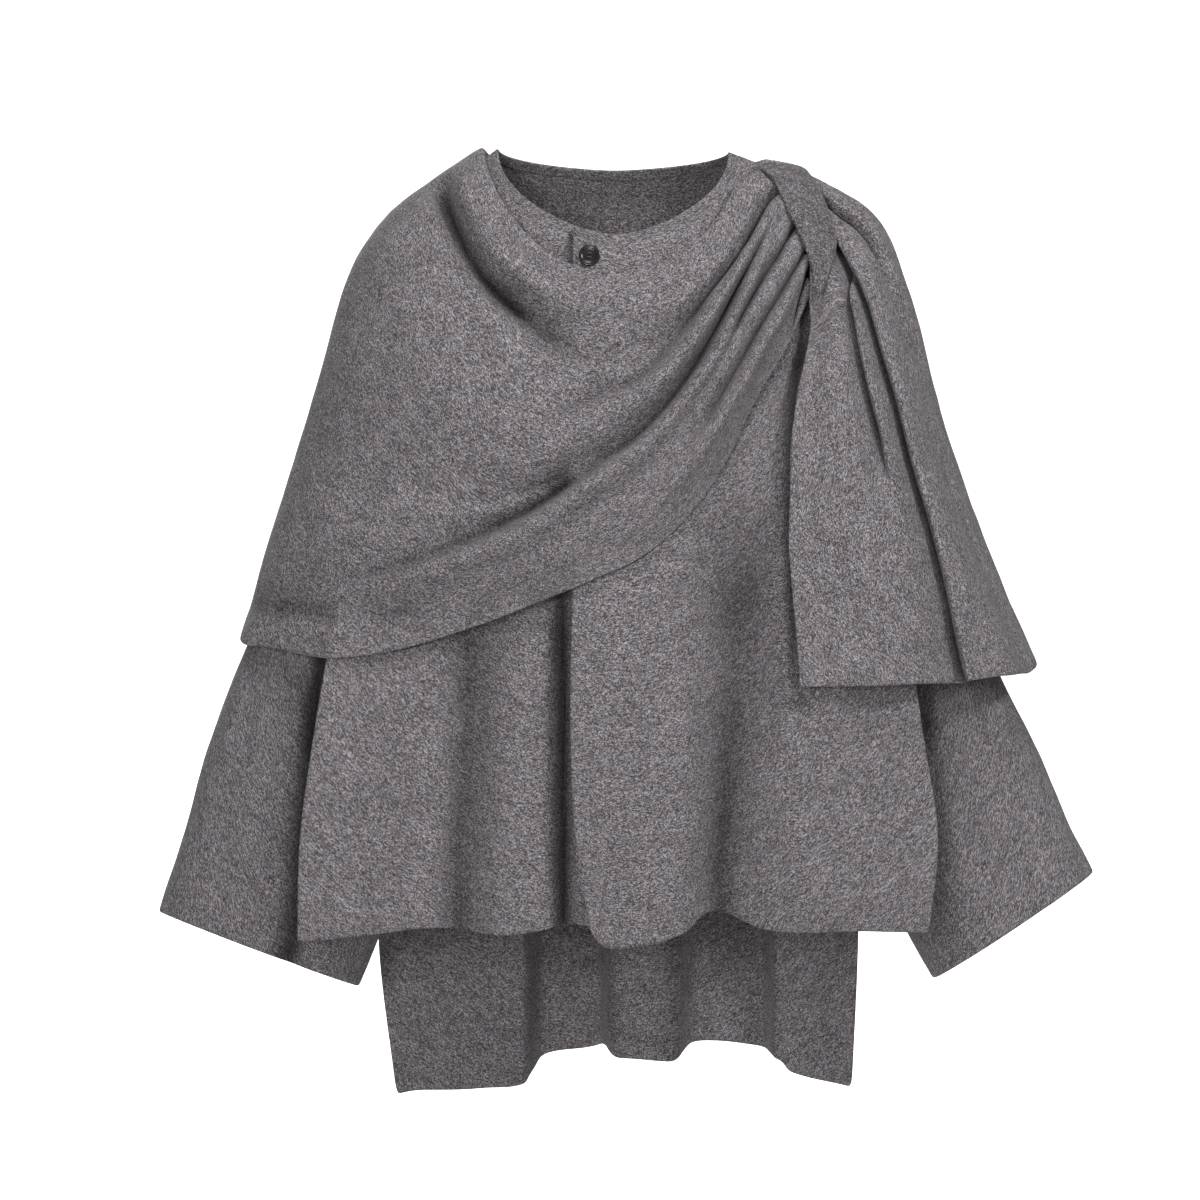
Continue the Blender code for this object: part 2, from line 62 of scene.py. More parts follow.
def columns(names, *rows):
    # a table's columns by name, with places (names ending in X, Y or Z) turned into metres
    values = np.array(rows, float)
    return {name: values[:, i] * (mm if name[-1] in "XYZ" else 1.0)
            for i, name in enumerate(names.split())}


def smooth(knots, values, at):
    # a smooth curve through the points, with no overshoot
    knots, values = np.asarray(knots, float), np.asarray(values, float)
    step = np.diff(values) / np.diff(knots)
    limit = 3.0 * np.minimum(np.abs(np.r_[step[0], step]), np.abs(np.r_[step, step[-1]]))
    slope = np.clip(np.gradient(values, knots), -limit, limit)
    at = np.clip(at, knots[0], knots[-1])
    i = np.clip(np.searchsorted(knots, at, side="right") - 1, 0, len(knots) - 2)
    gap = knots[i + 1] - knots[i]
    t = (at - knots[i]) / gap
    return ((2 * t**3 - 3 * t**2 + 1) * values[i] + (t**3 - 2 * t**2 + t) * slope[i] * gap
            + (3 * t**2 - 2 * t**3) * values[i + 1] + (t**3 - t**2) * slope[i + 1] * gap)


def through(values, at):
    # the same for a table's column, read at row numbers
    return smooth(np.arange(len(values)), values, at)


def span(table, names, at, part):
    # a value part of the way between two columns
    first, second = names.split()
    return mix(through(table[first], at), through(table[second], at), part)


def lastRow(table):
    return len(next(iter(table.values()))) - 1


def unit(vectors):
    return vectors / np.maximum(np.linalg.norm(vectors, axis=-1, keepdims=True), 1e-9)


def lengthAlong(points, axis):
    # how far each point lies along its row or column
    steps = np.linalg.norm(np.diff(points, axis=axis), axis=-1)
    return np.concatenate([np.zeros_like(steps.take([0], axis)), np.cumsum(steps, axis)], axis)


def ease(t):
    t = np.clip(t, 0.0, 1.0)
    return t * t * (3.0 - 2.0 * t)


def mix(a, b, t):
    return a + (b - a) * t


# A fold is a trough along a line of (place, centre, half width), or a ridge where its depth is below 0.
# On the body a place is a height and a centre an x, in millimetres. On the shawl and the sleeves a
# place is a rib or row number and a centre the part of it. Depths are millimetres. Lean makes the far
# side steeper than the near one. Steepness above 1 gives a flat bottom and steep sides.
Fold = namedtuple("Fold", "depth line lean steepness", defaults=(0, 1))


def foldsAt(place, centre, folds):
    depth = np.zeros(place.shape)
    for fold in folds:
        places, centres, widths = zip(*fold.line)
        part = (place - places[0]) / (places[-1] - places[0])
        fade = ease(part / knit["foldFade"]) * ease((1.0 - part) / knit["foldFade"])
        away = (centre - smooth(places, centres, place)) / smooth(places, widths, place)
        away /= 1.0 - fold.lean * np.tanh(3.0 * away)
        depth += fold.depth * mm * fade * np.exp(-(away * away) ** fold.steepness)
    return depth


# the body: rows from the neck edge to the hem, each a curve from the middle to its two sides

front = {
    "rows": columns(
        "midY midZ leftX leftY leftZ rightX rightY rightZ turn",
        (-83, -69, 97, 0, -1, -99, 0, -0.3, 90),
        (-92, -100, 124, 0, -11, -124, 0, -19, 90),
        (-100, -136, 154, 0, -19, -150, 0, -34, 90),
        (-107, -174, 182, 0, -33, -175, 0, -55, 90),
        (-112, -212, 204, 0, -52, -196, 0, -80, 88),
        (-116, -248, 206, -34, -90, -201, -32, -114, 76),
        (-119, -284, 207, -52, -146, -203, -50, -166, 66),
        (-122, -322, 208, -62, -212, -204, -60, -228, 58),
        (-125, -364, 210, -74, -284, -206, -72, -294, 50),
        (-128, -416, 226, -102, -360, -220, -100, -366, 42),
        (-131, -478, 238, -117, -444, -234, -115, -446, 36),
        (-133, -542, 250, -124, -524, -245, -122, -527, 30),
        (-135, -602, 243, -128, -598, -247, -126, -604, 26),
    ),
    "hem": columns(
        "atX riseZ",
        (-250, -4), (-185, 2), (-150, 7), (-112, 2), (-72, 4), (-50, 7), (-22, 9), (-8, -4),
        (20, -2), (42, 3), (58, 9), (68, 17), (84, 16), (98, 11), (112, 6), (128, 4), (180, 3),
        (245, -2),
    ),
    "freeEdges": columns(
        "leftFrontX rightFrontX",
        (-33, 20), (-33, 20), (-33, 20), (-33, 20), (-33, 20), (-33, 20), (-33, 20),
        (-33, 20), (-34, 20), (-35, 20), (-34, 20), (-30, 18), (-19, 16),
    ),
    "lapAtNeck": 7.5 * mm,     # how far the left front stands before the right one
    "lapAtHem": 22 * mm,
    "lapReach": 0.55,          # part of the left front over which that fades out
    "points": (94, 68),        # points down and across
    "leftFolds": (
        Fold(27, ((-860, 70, 21), (-560, 82, 21), (-450, 88, 24), (-360, 93, 31), (-240, 97, 38)), -0.1),
        Fold(-7, ((-760, 34, 22), (-520, 42, 24), (-360, 50, 22))),
        Fold(4, ((-860, 188, 24), (-560, 178, 24), (-400, 166, 24))),
        # it lies up against the shawl's tail, and dips beside the tail's edge
        Fold(12, ((-447, 143, 6), (-430, 142, 6), (-340, 138.5, 6), (-250, 136, 6), (-184, 141, 6),
                  (-90, 156, 6))),
        Fold(-20, ((-660, 168, 44), (-520, 160, 44), (-400, 156, 42), (-300, 150, 36), (-170, 150, 30))),
    ),
    "rightFolds": (
        Fold(21, ((-860, -128, 20), (-500, -118, 20), (-400, -112, 22), (-300, -106, 24)), -0.2),
        Fold(-7, ((-760, -84, 24), (-480, -84, 24), (-340, -86, 22))),
        Fold(17, ((-900, -38, 8), (-500, -40, 8), (-260, -40, 8))),
        Fold(6, ((-190, -32.5, 3.2), (-120, -32.5, 3.2), (-70, -32.5, 3.2), (0, -32.5, 3.2))),
        Fold(4, ((-860, -200, 26), (-520, -190, 26), (-340, -180, 22))),
    ),
}
back = {
    "points": (88, 118),
    "rows": columns(
        "midY midZ leftX leftY leftZ rightX rightY rightZ turn",
        (60, -20, 97, 0, -1, -99, 0, -0.3, 90),
        (72, -46, 124, 0, -11, -124, 0, -19, 90),
        (82, -86, 154, 0, -19, -150, 0, -34, 90),
        (90, -132, 182, 0, -33, -175, 0, -55, 90),
        (95, -180, 204, 0, -52, -196, 0, -80, 88),
        (98, -226, 206, 32, -90, -201, 31, -114, 76),
        (100, -272, 207, 48, -146, -203, 46, -166, 66),
        (101, -318, 208, 56, -212, -204, 54, -228, 58),
        (101, -368, 209, 64, -284, -205, 62, -294, 50),
        (96, -440, 207, 76, -372, -202, 75, -378, 44),
        (88, -530, 202, 80, -480, -196, 80, -484, 38),
        (80, -636, 202, 76, -620, -196, 76, -622, 34),
        (74, -740, 197, 70, -762, -181, 70, -768, 30),
    ),
    "hem": columns(
        "atX riseZ",
        (-185, -7), (-165, -8), (-150, -11), (-110, -17), (-74, -20), (-68, -15), (-60, -7),
        (-14, -3), (-5, 0), (2, -5), (46, -5), (58, 1), (66, 5), (110, 7), (138, 5), (145, -3),
        (195, -7),
    ),
    "folds": (
        Fold(42, ((-900, -30, 32), (-640, -30, 32), (-520, -28, 32), (-400, -25, 30)), 0.25, 6),
        Fold(38, ((-900, 103, 37), (-640, 103, 37), (-520, 104, 36), (-400, 105, 34)), 0.25, 6),
        Fold(-6, ((-900, -120, 26), (-640, -118, 26), (-460, -110, 24))),
        Fold(-6, ((-900, 40, 26), (-640, 40, 26), (-480, 38, 24))),
    ),
}
body = {
    "hemRows": 4.0,            # rows above the hem over which its rise fades out
    "sidePower": 0.8,
    "shoulderSeam": 1.8 * mm,
    "shoulderRow": 4.0,        # where the shoulder ends and the armhole begins
    "underarmRow": 8.0,
    "edgeRow": 0.03,           # one more row of points here keeps the neck edge crisp
}


def bodyPoints(rows, down, across):
    # across is -1 at the panel's right side and 1 at its left
    turn = np.radians(through(rows["turn"], down))
    angle = turn * across
    bend = (1.0 - np.cos(angle)) / (1.0 - np.cos(turn))
    side = {axis: np.where(across > 0, through(rows["left" + axis], down),
                           through(rows["right" + axis], down)) for axis in "XYZ"}
    x = side["X"] * np.sin(np.abs(angle)) / np.sin(turn)
    y = mix(through(rows["midY"], down), side["Y"], bend)
    z = mix(through(rows["midZ"], down), side["Z"], bend ** body["sidePower"])
    return np.stack([x, y, z], -1)


def acrossAt(rows, down, x):
    # where a front's row passes the place x
    sideX = np.where(x > 0, through(rows["leftX"], down), -through(rows["rightX"], down))
    turn = np.radians(through(rows["turn"], down))
    return np.arcsin(np.clip(x * np.sin(turn) / sideX, -1, 1)) / turn


def lap(down, across):
    reach = mix(front["lapAtNeck"], front["lapAtHem"], ease(down / lastRow(front["rows"])))
    return reach * ease(1.0 - np.maximum(across, 0.0) / front["lapReach"])


def raiseHem(points, panel, down):
    near = ease(1.0 - (lastRow(panel["rows"]) - down) / body["hemRows"])
    points[..., 2] += smooth(panel["hem"]["atX"], panel["hem"]["riseZ"], points[..., 0]) * near


def frontPoints(side, down, part):
    # side is 1 for the left front and -1 for the right; part is 0 at its free edge, 1 at its side
    edges = front["freeEdges"]["leftFrontX" if side > 0 else "rightFrontX"]
    edge = acrossAt(front["rows"], down, through(edges, down))
    across = mix(edge, side, part)
    points = bodyPoints(front["rows"], down, across)
    if side > 0:
        points[..., 1] -= lap(down, across)
    folds = front["leftFolds" if side > 0 else "rightFolds"]
    points[..., 1] += foldsAt(points[..., 2] / mm, points[..., 0] / mm, folds)
    points[..., 1] -= body["shoulderSeam"] / 2
    raiseHem(points, front, down)
    return points


def backPoints(down, across):
    points = bodyPoints(back["rows"], down, across)
    points[..., 1] += foldsAt(points[..., 2] / mm, points[..., 0] / mm, back["folds"])
    points[..., 1] += body["shoulderSeam"] / 2
    raiseHem(points, back, down)
    return points


# the sleeves: rows from the armhole to the cuff

sleeves = {
    "right": columns(
        "outerX outerZ innerX innerZ frontY backY",
        (-203, -80, -207, -300, -68, 60),
        (-208, -114, -211, -322, -60, 56),
        (-219, -170, -211, -356, -56, 52),
        (-240, -258, -206, -400, -56, 52),
        (-270, -340, -197, -452, -60, 55),
        (-301.5, -410, -190, -503, -68, 62),
        (-325.5, -474, -185, -558, -76, 68),
        (-345, -542, -188, -613, -76, 68),
        (-367, -607, -208, -668, -74, 66),
    ),
    "left": columns(
        "outerX outerZ innerX innerZ frontY backY",
        (207, -54, 211, -292, -70, 62),
        (228, -98, 213, -316, -56, 58),
        (237, -160, 214, -352, -50, 56),
        (252, -248, 213, -400, -48, 56),
        (275, -330, 212, -450, -54, 58),
        (305, -410, 213, -502, -68, 63),
        (338, -476, 219, -556, -76, 68),
        (362, -532, 232, -611, -75, 68),
        (384, -575, 258, -661.5, -73, 66),
    ),
    "cuffTilt": 0.2,           # the cuffs' fronts stand higher than their backs
    "armholeGap": 1.9 * mm,
    "blendRows": 1.5,          # rows over which the armhole's outline turns into the sleeve's own
    "underarmSag": 12 * mm,
    "points": (76, 70),
    # around is 0 at the outer edge, a quarter at the front, a half inside and three quarters behind
    "rightFolds": (
        # it dips beside the side edge of the right front
        Fold(15, ((2.6, 0.262, 0.018), (4.55, 0.265, 0.018), (5.6, 0.275, 0.018), (6.65, 0.279, 0.018),
                  (7.4, 0.294, 0.018), (8.2, 0.318, 0.018), (9.4, 0.36, 0.018))),
        Fold(4, ((4.6, 0.16, 0.04), (6.2, 0.14, 0.04), (8.4, 0.13, 0.05))),
        Fold(6, ((3.0, 0.66, 0.06), (5.0, 0.70, 0.06), (8.0, 0.74, 0.06))),
        Fold(4, ((4.4, 0.88, 0.04), (6.4, 0.86, 0.04), (8.4, 0.85, 0.05))),
    ),
    "leftFolds": (
        Fold(5, ((4.0, 0.30, 0.05), (5.6, 0.27, 0.05), (7.2, 0.24, 0.05), (9.0, 0.22, 0.05))),
        Fold(4, ((4.6, 0.42, 0.04), (6.2, 0.40, 0.04), (8.4, 0.38, 0.05))),
        Fold(6, ((2.0, 0.66, 0.06), (5.0, 0.70, 0.06), (8.0, 0.73, 0.06))),
        Fold(4, ((3.4, 0.86, 0.04), (6.0, 0.88, 0.04), (8.4, 0.87, 0.05))),
    ),
}


def armholeRing(side, around):
    # the sleeve's first ring: down the front's side edge, under the arm and up the back's
    edge = np.linspace(body["shoulderRow"], body["underarmRow"], 40)
    frontEdge, backEdge = (bodyPoints(panel["rows"], edge, np.full_like(edge, side))
                           for panel in (front, back))
    t = np.linspace(0, 1, 20)[1:-1, None]
    under = mix(frontEdge[-1], backEdge[-1], t)
    under = under - np.array([0, 0, sleeves["underarmSag"]]) * np.sin(math.pi * t)
    ring = np.concatenate([frontEdge, under, backEdge[::-1], frontEdge[:1]])
    ring[:, 0] += side * sleeves["armholeGap"]
    length = lengthAlong(ring, 0)
    return np.stack([np.interp(around * length[-1], length, ring[:, k]) for k in range(3)], -1)


def sleevePoints(which, side, down, around):
    rows = sleeves[which]
    around = around % 1.0
    angle = 2 * math.pi * around
    swing = (1.0 + np.cos(angle)) / 2
    fold = foldsAt(down, around, sleeves[which + "Folds"])
    depth = np.where(np.sin(angle) > 0, through(rows["frontY"], down), -through(rows["backY"], down))
    x, z = (span(rows, f"inner{axis} outer{axis}", down, swing) for axis in "XZ")
    y = depth * np.sign(np.sin(angle)) * np.abs(np.sin(angle)) ** knit["roundness"]
    y -= np.sign(y) * fold
    z -= y * sleeves["cuffTilt"] * ease(down / lastRow(rows))
    tube = np.stack([x, y, z], -1)
    return mix(armholeRing(side, around), tube, ease(down / sleeves["blendRows"])[..., None])


# the shawl: rings of its form from the neck down, over the body and both arms

shawl = {
    "rings": columns(
        "leftX leftZ frontY frontZ rightX rightZ backY backZ",
        (104, 6, -104, -88, -105, 5.5, 76, -26),
        (150, -3, -121, -118, -148, -22.5, 97, -44),
        (184.5, -25, -133, -172, -183, -52, 110, -82),
        (214, -60.5, -142, -224, -211.5, -97, 118, -146),
        (238, -126, -148, -272, -232, -168, 122, -214),
        (257, -200, -151, -312, -258, -252, 125, -284),
        (285, -282, -153, -346, -281, -324, 125, -346),
        (315, -356, -155, -380, -302, -394, 123, -398),
        (346, -424, -158, -420, -320, -452, 121, -452),
    ),
    "ringPower": 1.5,
    # ribs from the neck edge to the lower edge: degrees round the form (0 left shoulder, 90 front,
    # 180 right arm, 270 back) and a ring of it
    "frontRibs": columns(
        "neckTurn neckRing lowTurn lowRing",
        (13.5, 0.47, 40.5, 2.15), (24.0, 0.05, 51.5, 2.44), (36.0, 0.00, 62.3, 2.79),
        (48.0, 0.00, 70.0, 3.33), (60.0, 0.00, 78.6, 4.06), (72.0, 0.00, 87.4, 4.86),
        (84.0, 0.00, 96.8, 5.66), (97.0, 0.00, 108.0, 6.41), (111.0, 0.00, 120.4, 6.92),
        (126.0, 0.00, 134.0, 7.05), (142.0, 0.00, 149.0, 6.93), (160.0, 0.00, 166.0, 6.88),
        (180.0, 0.00, 186.0, 6.85),
    ),
    "backRibs": columns(
        "neckTurn neckRing lowTurn lowRing",
        (180.0, 0.00, 186.0, 6.85), (200.0, 0.00, 206.0, 6.90), (220.0, 0.00, 225.0, 6.80),
        (240.0, 0.00, 242.0, 6.30), (258.0, 0.00, 257.0, 5.40), (276.0, 0.00, 271.0, 4.40),
        (294.0, 0.00, 284.0, 3.50), (312.0, 0.05, 300.0, 2.70), (328.0, 0.25, 318.0, 2.00),
        (342.0, 0.45, 336.0, 1.40),
    ),
    "tailRows": columns(
        "outerTurn outerRing innerTurn innerRing forwardY",
        (13.5, 0.47, 40.5, 2.15, 0), (10.0, 1.62, 44.0, 2.50, 0), (4.0, 2.50, 48.5, 2.78, -4),
        (2.0, 3.24, 53.5, 3.12, -10), (2.0, 4.10, 58.1, 3.70, -15), (1.0, 4.95, 61.0, 4.51, -18),
        (0.0, 5.78, 63.8, 5.45, -20), (0.0, 6.78, 66.4, 6.55, -22), (-1.0, 7.72, 68.6, 7.62, -24),
    ),
    "tailReach": 0.6,          # part of its width over which the tail is brought forward
    "neckRoll": (2.3 * mm, 3.0 * mm),   # radius of the soft roll along the neck edge
    "rollStart": 0.05,         # part of the fall where the roll's size is measured
    "turnedIn": 6 * mm,        # cloth that the roll turns under
    "seam": 0.7 * mm,          # gap where two stretches are sewn together
    "points": {"front": (120, 84), "back": (80, 50), "tail": (84, 92)},
    "frontFolds": (
        # the cowl's valley and the roll above it
        Fold(8, ((4.6, 0.33, 0.11), (6.4, 0.265, 0.085), (7.4, 0.218, 0.060), (8.3, 0.182, 0.042),
                 (9.5, 0.155, 0.031), (12.0, 0.124, 0.030)), 0.3),
        Fold(9, ((6.4, 0.262, 0.08), (7.4, 0.214, 0.056), (8.3, 0.180, 0.040), (9.5, 0.155, 0.029),
                 (10.3, 0.137, 0.027), (12.0, 0.124, 0.030)), 0.35),
        Fold(8, ((7.7, 0.20, 0.040), (8.3, 0.178, 0.036), (9.5, 0.155, 0.028), (10.3, 0.137, 0.026),
                 (12.0, 0.124, 0.028)), 0.35),
        Fold(-6, ((6.0, 0.20, 0.09), (8.3, 0.115, 0.05), (9.5, 0.085, 0.036), (12.0, 0.06, 0.034))),
        Fold(-4, ((7.0, 0.44, 0.09), (8.6, 0.38, 0.09), (10.4, 0.31, 0.08), (12.0, 0.28, 0.07))),
        # gathers that run from the loop, each valley with its ridge below
        Fold(18, ((-1.4, 0.24, 0.034), (0.4, 0.225, 0.032), (1.8, 0.24, 0.030), (3.5, 0.24, 0.028),
                  (4.5, 0.28, 0.034), (5.6, 0.325, 0.046), (7.3, 0.40, 0.075)), 0.45),
        Fold(-9, ((0.1, 0.34, 0.04), (1.8, 0.32, 0.034), (3.4, 0.315, 0.03), (4.6, 0.355, 0.034),
                  (6.4, 0.44, 0.05))),
        Fold(13, ((-1.4, 0.48, 0.034), (0.5, 0.52, 0.030), (1.1, 0.53, 0.028), (1.8, 0.51, 0.028),
                  (3.8, 0.46, 0.034)), 0.4),
        Fold(12, ((0.6, 0.33, 0.03), (3.0, 0.366, 0.028), (4.0, 0.408, 0.028), (5.25, 0.474, 0.033),
                  (6.5, 0.59, 0.046), (8.2, 0.73, 0.07)), 0.45),
        Fold(8, ((1.6, 0.34, 0.03), (3.0, 0.366, 0.028), (4.0, 0.408, 0.028), (5.25, 0.474, 0.030),
                 (6.5, 0.59, 0.034), (7.8, 0.70, 0.045), (10.4, 0.90, 0.06)), 0.5),
        Fold(-9, ((1.4, 0.41, 0.036), (3.0, 0.43, 0.032), (4.2, 0.475, 0.032), (5.4, 0.55, 0.036),
                  (6.6, 0.66, 0.042), (8.8, 0.85, 0.05))),
        Fold(8, ((4.0, 0.40, 0.022), (5.6, 0.505, 0.024), (6.85, 0.56, 0.032), (8.6, 0.60, 0.055)), 0.4),
        Fold(12, ((-0.8, 0.74, 0.034), (1.7, 0.69, 0.030), (2.9, 0.65, 0.034), (4.8, 0.66, 0.05)), 0.4),
        Fold(-6, ((0.4, 0.80, 0.05), (2.0, 0.76, 0.045), (3.4, 0.73, 0.05), (5.4, 0.75, 0.06))),
        Fold(10, ((-0.9, 0.84, 0.05), (0.1, 0.86, 0.045), (0.9, 0.97, 0.05)), 0.3),
        # soft creases over the right arm
        Fold(7, ((7.4, 0.87, 0.07), (9.85, 0.915, 0.032), (11.0, 0.93, 0.026), (12.0, 0.94, 0.03)), 0.2),
        Fold(4, ((8.0, 0.56, 0.08), (9.6, 0.62, 0.08), (11.8, 0.70, 0.08))),
    ),
    "backFolds": (
        Fold(9, ((3.4, 0.50, 0.07), (5.6, 0.36, 0.06), (7.6, 0.30, 0.05), (9.6, 0.30, 0.05))),
        Fold(8, ((4.0, 0.76, 0.06), (6.0, 0.62, 0.06), (8.0, 0.56, 0.06), (9.6, 0.62, 0.06))),
        Fold(6, ((0.6, 0.60, 0.09), (2.2, 0.42, 0.09), (3.6, 0.30, 0.08))),
        Fold(-5, ((4.6, 0.60, 0.06), (6.6, 0.48, 0.06), (8.6, 0.44, 0.05))),
    ),
    # gathers that fall from the loop, pushed back and under the outer side
    "tailFolds": (
        Fold(22, ((-1.4, 0.12, 0.05), (0.0, 0.33, 0.046), (1.0, 0.475, 0.040), (1.5, 0.55, 0.036),
                  (2.25, 0.645, 0.034), (3.15, 0.650, 0.034), (4.75, 0.620, 0.036), (5.8, 0.61, 0.06)),
             -0.4),
        Fold(27, ((-1.4, 0.26, 0.040), (0.6, 0.41, 0.038), (1.8, 0.515, 0.034), (2.85, 0.520, 0.034),
                  (3.45, 0.512, 0.034), (4.3, 0.488, 0.036), (5.05, 0.482, 0.038), (5.95, 0.492, 0.042),
                  (7.65, 0.585, 0.046), (10.5, 0.72, 0.06)), -0.5),
        Fold(-6, ((1.2, 0.36, 0.05), (3.0, 0.40, 0.06), (6.0, 0.40, 0.07), (9.0, 0.44, 0.10))),
        Fold(-4, ((2.4, 0.84, 0.06), (4.4, 0.80, 0.06), (7.0, 0.80, 0.07))),
        Fold(5, ((4.4, 0.30, 0.05), (6.2, 0.27, 0.05), (9.0, 0.24, 0.06)), 0.2),
    ),
    "tailTuck": (0.9, 0.5, 0.0),
    # the outer rim lies behind the roll beside it
    "rimFolds": (
        Fold(17, ((-0.8, 0.13, 0.040), (0.95, 0.180, 0.036), (1.5, 0.195, 0.034), (2.7, 0.225, 0.036),
                  (3.5, 0.205, 0.045), (4.6, 0.16, 0.07)), -0.3),
    ),
    "rimTuck": (-0.5, 0.7, 0.0),
    "rest": 2.5 * mm,          # how close the cloth lies to what is under it
    "restMost": 15 * mm,       # the most that its lower edges are drawn in
    "restBlur": 10,
    "pushBlur": 3,
    "ahead": 40 * mm,          # what lies behind is looked for from this far before the cloth
    "lookDepth": 0.14,
    # where it is drawn in, as a start and a width: parts of the fall or the width, ribs or rows
    "lowerEdge": (0.72, 0.28),
    "untilRib": (11.4, 1.2),
    "tailInner": (0.62, 0.38),
    "tailHem": (6.6, 1.4),
    "tailHemShare": 0.6,
}


def shawlForm(turn, ring):
    rings = {name: through(values, ring) for name, values in shawl["rings"].items()}
    c, s = np.cos(np.radians(turn)), np.sin(np.radians(turn))
    rise = np.abs(s) ** shawl["ringPower"]
    x = np.where(c > 0, rings["leftX"], rings["rightX"]) * np.abs(c) ** knit["roundness"]
    y = np.where(s > 0, rings["frontY"], rings["backY"]) * np.abs(s) ** knit["roundness"]
    z = mix(np.where(c > 0, rings["leftZ"], rings["rightZ"]),
            np.where(s > 0, rings["frontZ"], rings["backZ"]), rise)
    return np.stack([x, y, z], -1)


def formNormal(turn, ring):
    step = 0.4
    roundIt = shawlForm(turn + step, ring) - shawlForm(turn - step, ring)
    downIt = shawlForm(turn, ring + step / 4) - shawlForm(turn, ring - step / 4)
    return unit(np.cross(roundIt, downIt))


def capePoints(turn, ring, lift):
    return shawlForm(turn, ring) + formNormal(turn, ring) * lift[..., None]


def shawlPoints(ribs, along, fall, folds):
    # along counts the ribs; fall is 0 at the neck edge and 1 at the lower edge
    turn, ring = (span(ribs, f"neck{what} low{what}", along, fall) for what in ("Turn", "Ring"))
    return capePoints(turn, ring, -foldsAt(along, fall, folds))


def tailPoints(down, across):
    rows = shawl["tailRows"]
    turn, ring = (span(rows, f"outer{what} inner{what}", down, across) for what in ("Turn", "Ring"))
    points, normal = shawlForm(turn, ring), formNormal(turn, ring)
    for kind in ("tail", "rim"):
        under = unit(np.array(shawl[kind + "Tuck"]) - normal)
        points += under * foldsAt(down, across, shawl[kind + "Folds"])[..., None]
    points[..., 1] += through(rows["forwardY"], down) * ease(across / shawl["tailReach"])
    return points


# the loop on the left shoulder, and the trim round the neck

strap = {
    "rows": columns(
        "outerTurn outerRing innerTurn innerRing outerLift innerLift",
        (-22.0, 0.90, -26.0, 0.42, -6.2, -7.0), (-6.0, 0.98, -6.0, 0.36, -11.5, -12.5),
        (3.5, 1.00, 7.0, 0.24, -8.0, -5.5), (10.5, 1.06, 15.5, 0.24, 0.0, 1.0),
        (17.5, 1.44, 21.5, 0.53, 2.8, 4.4), (22.0, 1.80, 30.0, 0.95, 2.8, 4.8),
        (26.2, 2.07, 33.7, 1.39, 3.0, 4.6), (32.3, 2.18, 35.8, 1.77, 3.2, 4.0),
        (38.6, 2.27, 39.2, 2.18, 3.0, 3.2),
    ),
    "crown": 1.4 * mm,         # how far its middle stands over its edges
    "ribs": 10,                # ribs across the loop
    "ribHeight": 0.35 * mm,
    "points": (40, 37),
}
trim = {
    "height": 8.4 * mm,
    "gap": -0.5 * mm,          # below 0, it laps the panel's edge
    "edge": 0.5 * mm,          # first row above its sewn edge
    "wall": 1.1 * mm,
    "doubled": 0.6 * mm,       # half the distance between its two layers
    "shoulders": (0.26, 0.74),
    "points": 150,
}


def strapPoints(down, across):
    rows = strap["rows"]
    turn, ring, lift = (span(rows, f"outer{what} inner{what}", down, across)
                        for what in ("Turn", "Ring", "Lift"))
    lift *= mm
    lift += strap["crown"] * (1.0 - (2.0 * across - 1.0) ** 4)
    lift += strap["ribHeight"] * np.cos(2 * math.pi * strap["ribs"] * across)
    return capePoints(turn, ring, lift)


def trimPoints(around, height, lift):
    # around is 0 at the trim's end on the left front and 1 at its end on the right
    rows = front["rows"]
    start = acrossAt(rows, np.zeros(1), front["freeEdges"]["leftFrontX"][:1])[0]
    stop = -acrossAt(rows, np.zeros(1), front["freeEdges"]["rightFrontX"][:1])[0]
    across = np.interp(around, (0, *trim["shoulders"], 1), (start, 1, 3, 4 - stop))
    onBack = (across > 1) & (across < 3)
    frontAcross = np.where(across > 2, across - 4, across)

    def ring(down):
        at = np.full(around.shape, float(down))
        points = np.where(onBack[..., None], bodyPoints(back["rows"], at, 2 - across),
                          bodyPoints(rows, at, frontAcross))
        points[..., 1] -= np.where(across <= 1, lap(at, frontAcross), 0)
        return points

    upward = unit(ring(0) - ring(0.5))
    out = unit(np.cross(upward, np.gradient(ring(0), axis=0)))
    return ring(0) + upward * (trim["gap"] + height)[..., None] + out * lift[..., None]


# from points to cloth

def grid(downTo, across, count):
    return np.meshgrid(np.linspace(0, downTo, count[0]), np.linspace(*across, count[1]), indexing="ij")


def evenColumns(line, count):
    # places across, from -1 to 1, that lie evenly spaced along the folded hem
    fine = np.linspace(-1, 1, 1200)
    length = lengthAlong(line(fine), 0)
    return np.interp(np.linspace(0, length[-1], count), length, fine)


def surfaceOf(*sheets):
    # what the sheets' cloth can rest on
    places, faces = [], []
    for points in sheets:
        down, across = points.shape[:2]
        first = len(places)
        places += points.reshape(-1, 3).tolist()
        faces += [(first + i * across + j, first + (i + 1) * across + j,
                   first + (i + 1) * across + j + 1, first + i * across + j + 1)
                  for i in range(down - 1) for j in range(across - 1)]
    return BVHTree.FromPolygons(places, faces)


def roomBehind(points, under):
    # how far the cloth at each point stands before what lies behind it; below 0 it is inside it
    ahead, backward = Vector((0, shawl["ahead"], 0)), Vector((0, 1, 0))
    room = np.full(points.shape[:2], np.nan)
    for i, j in np.ndindex(room.shape):
        distance = under.ray_cast(Vector(points[i, j]) - ahead, backward, shawl["lookDepth"])[3]
        if distance:
            room[i, j] = distance - shawl["ahead"] - knit["wall"]
    return room


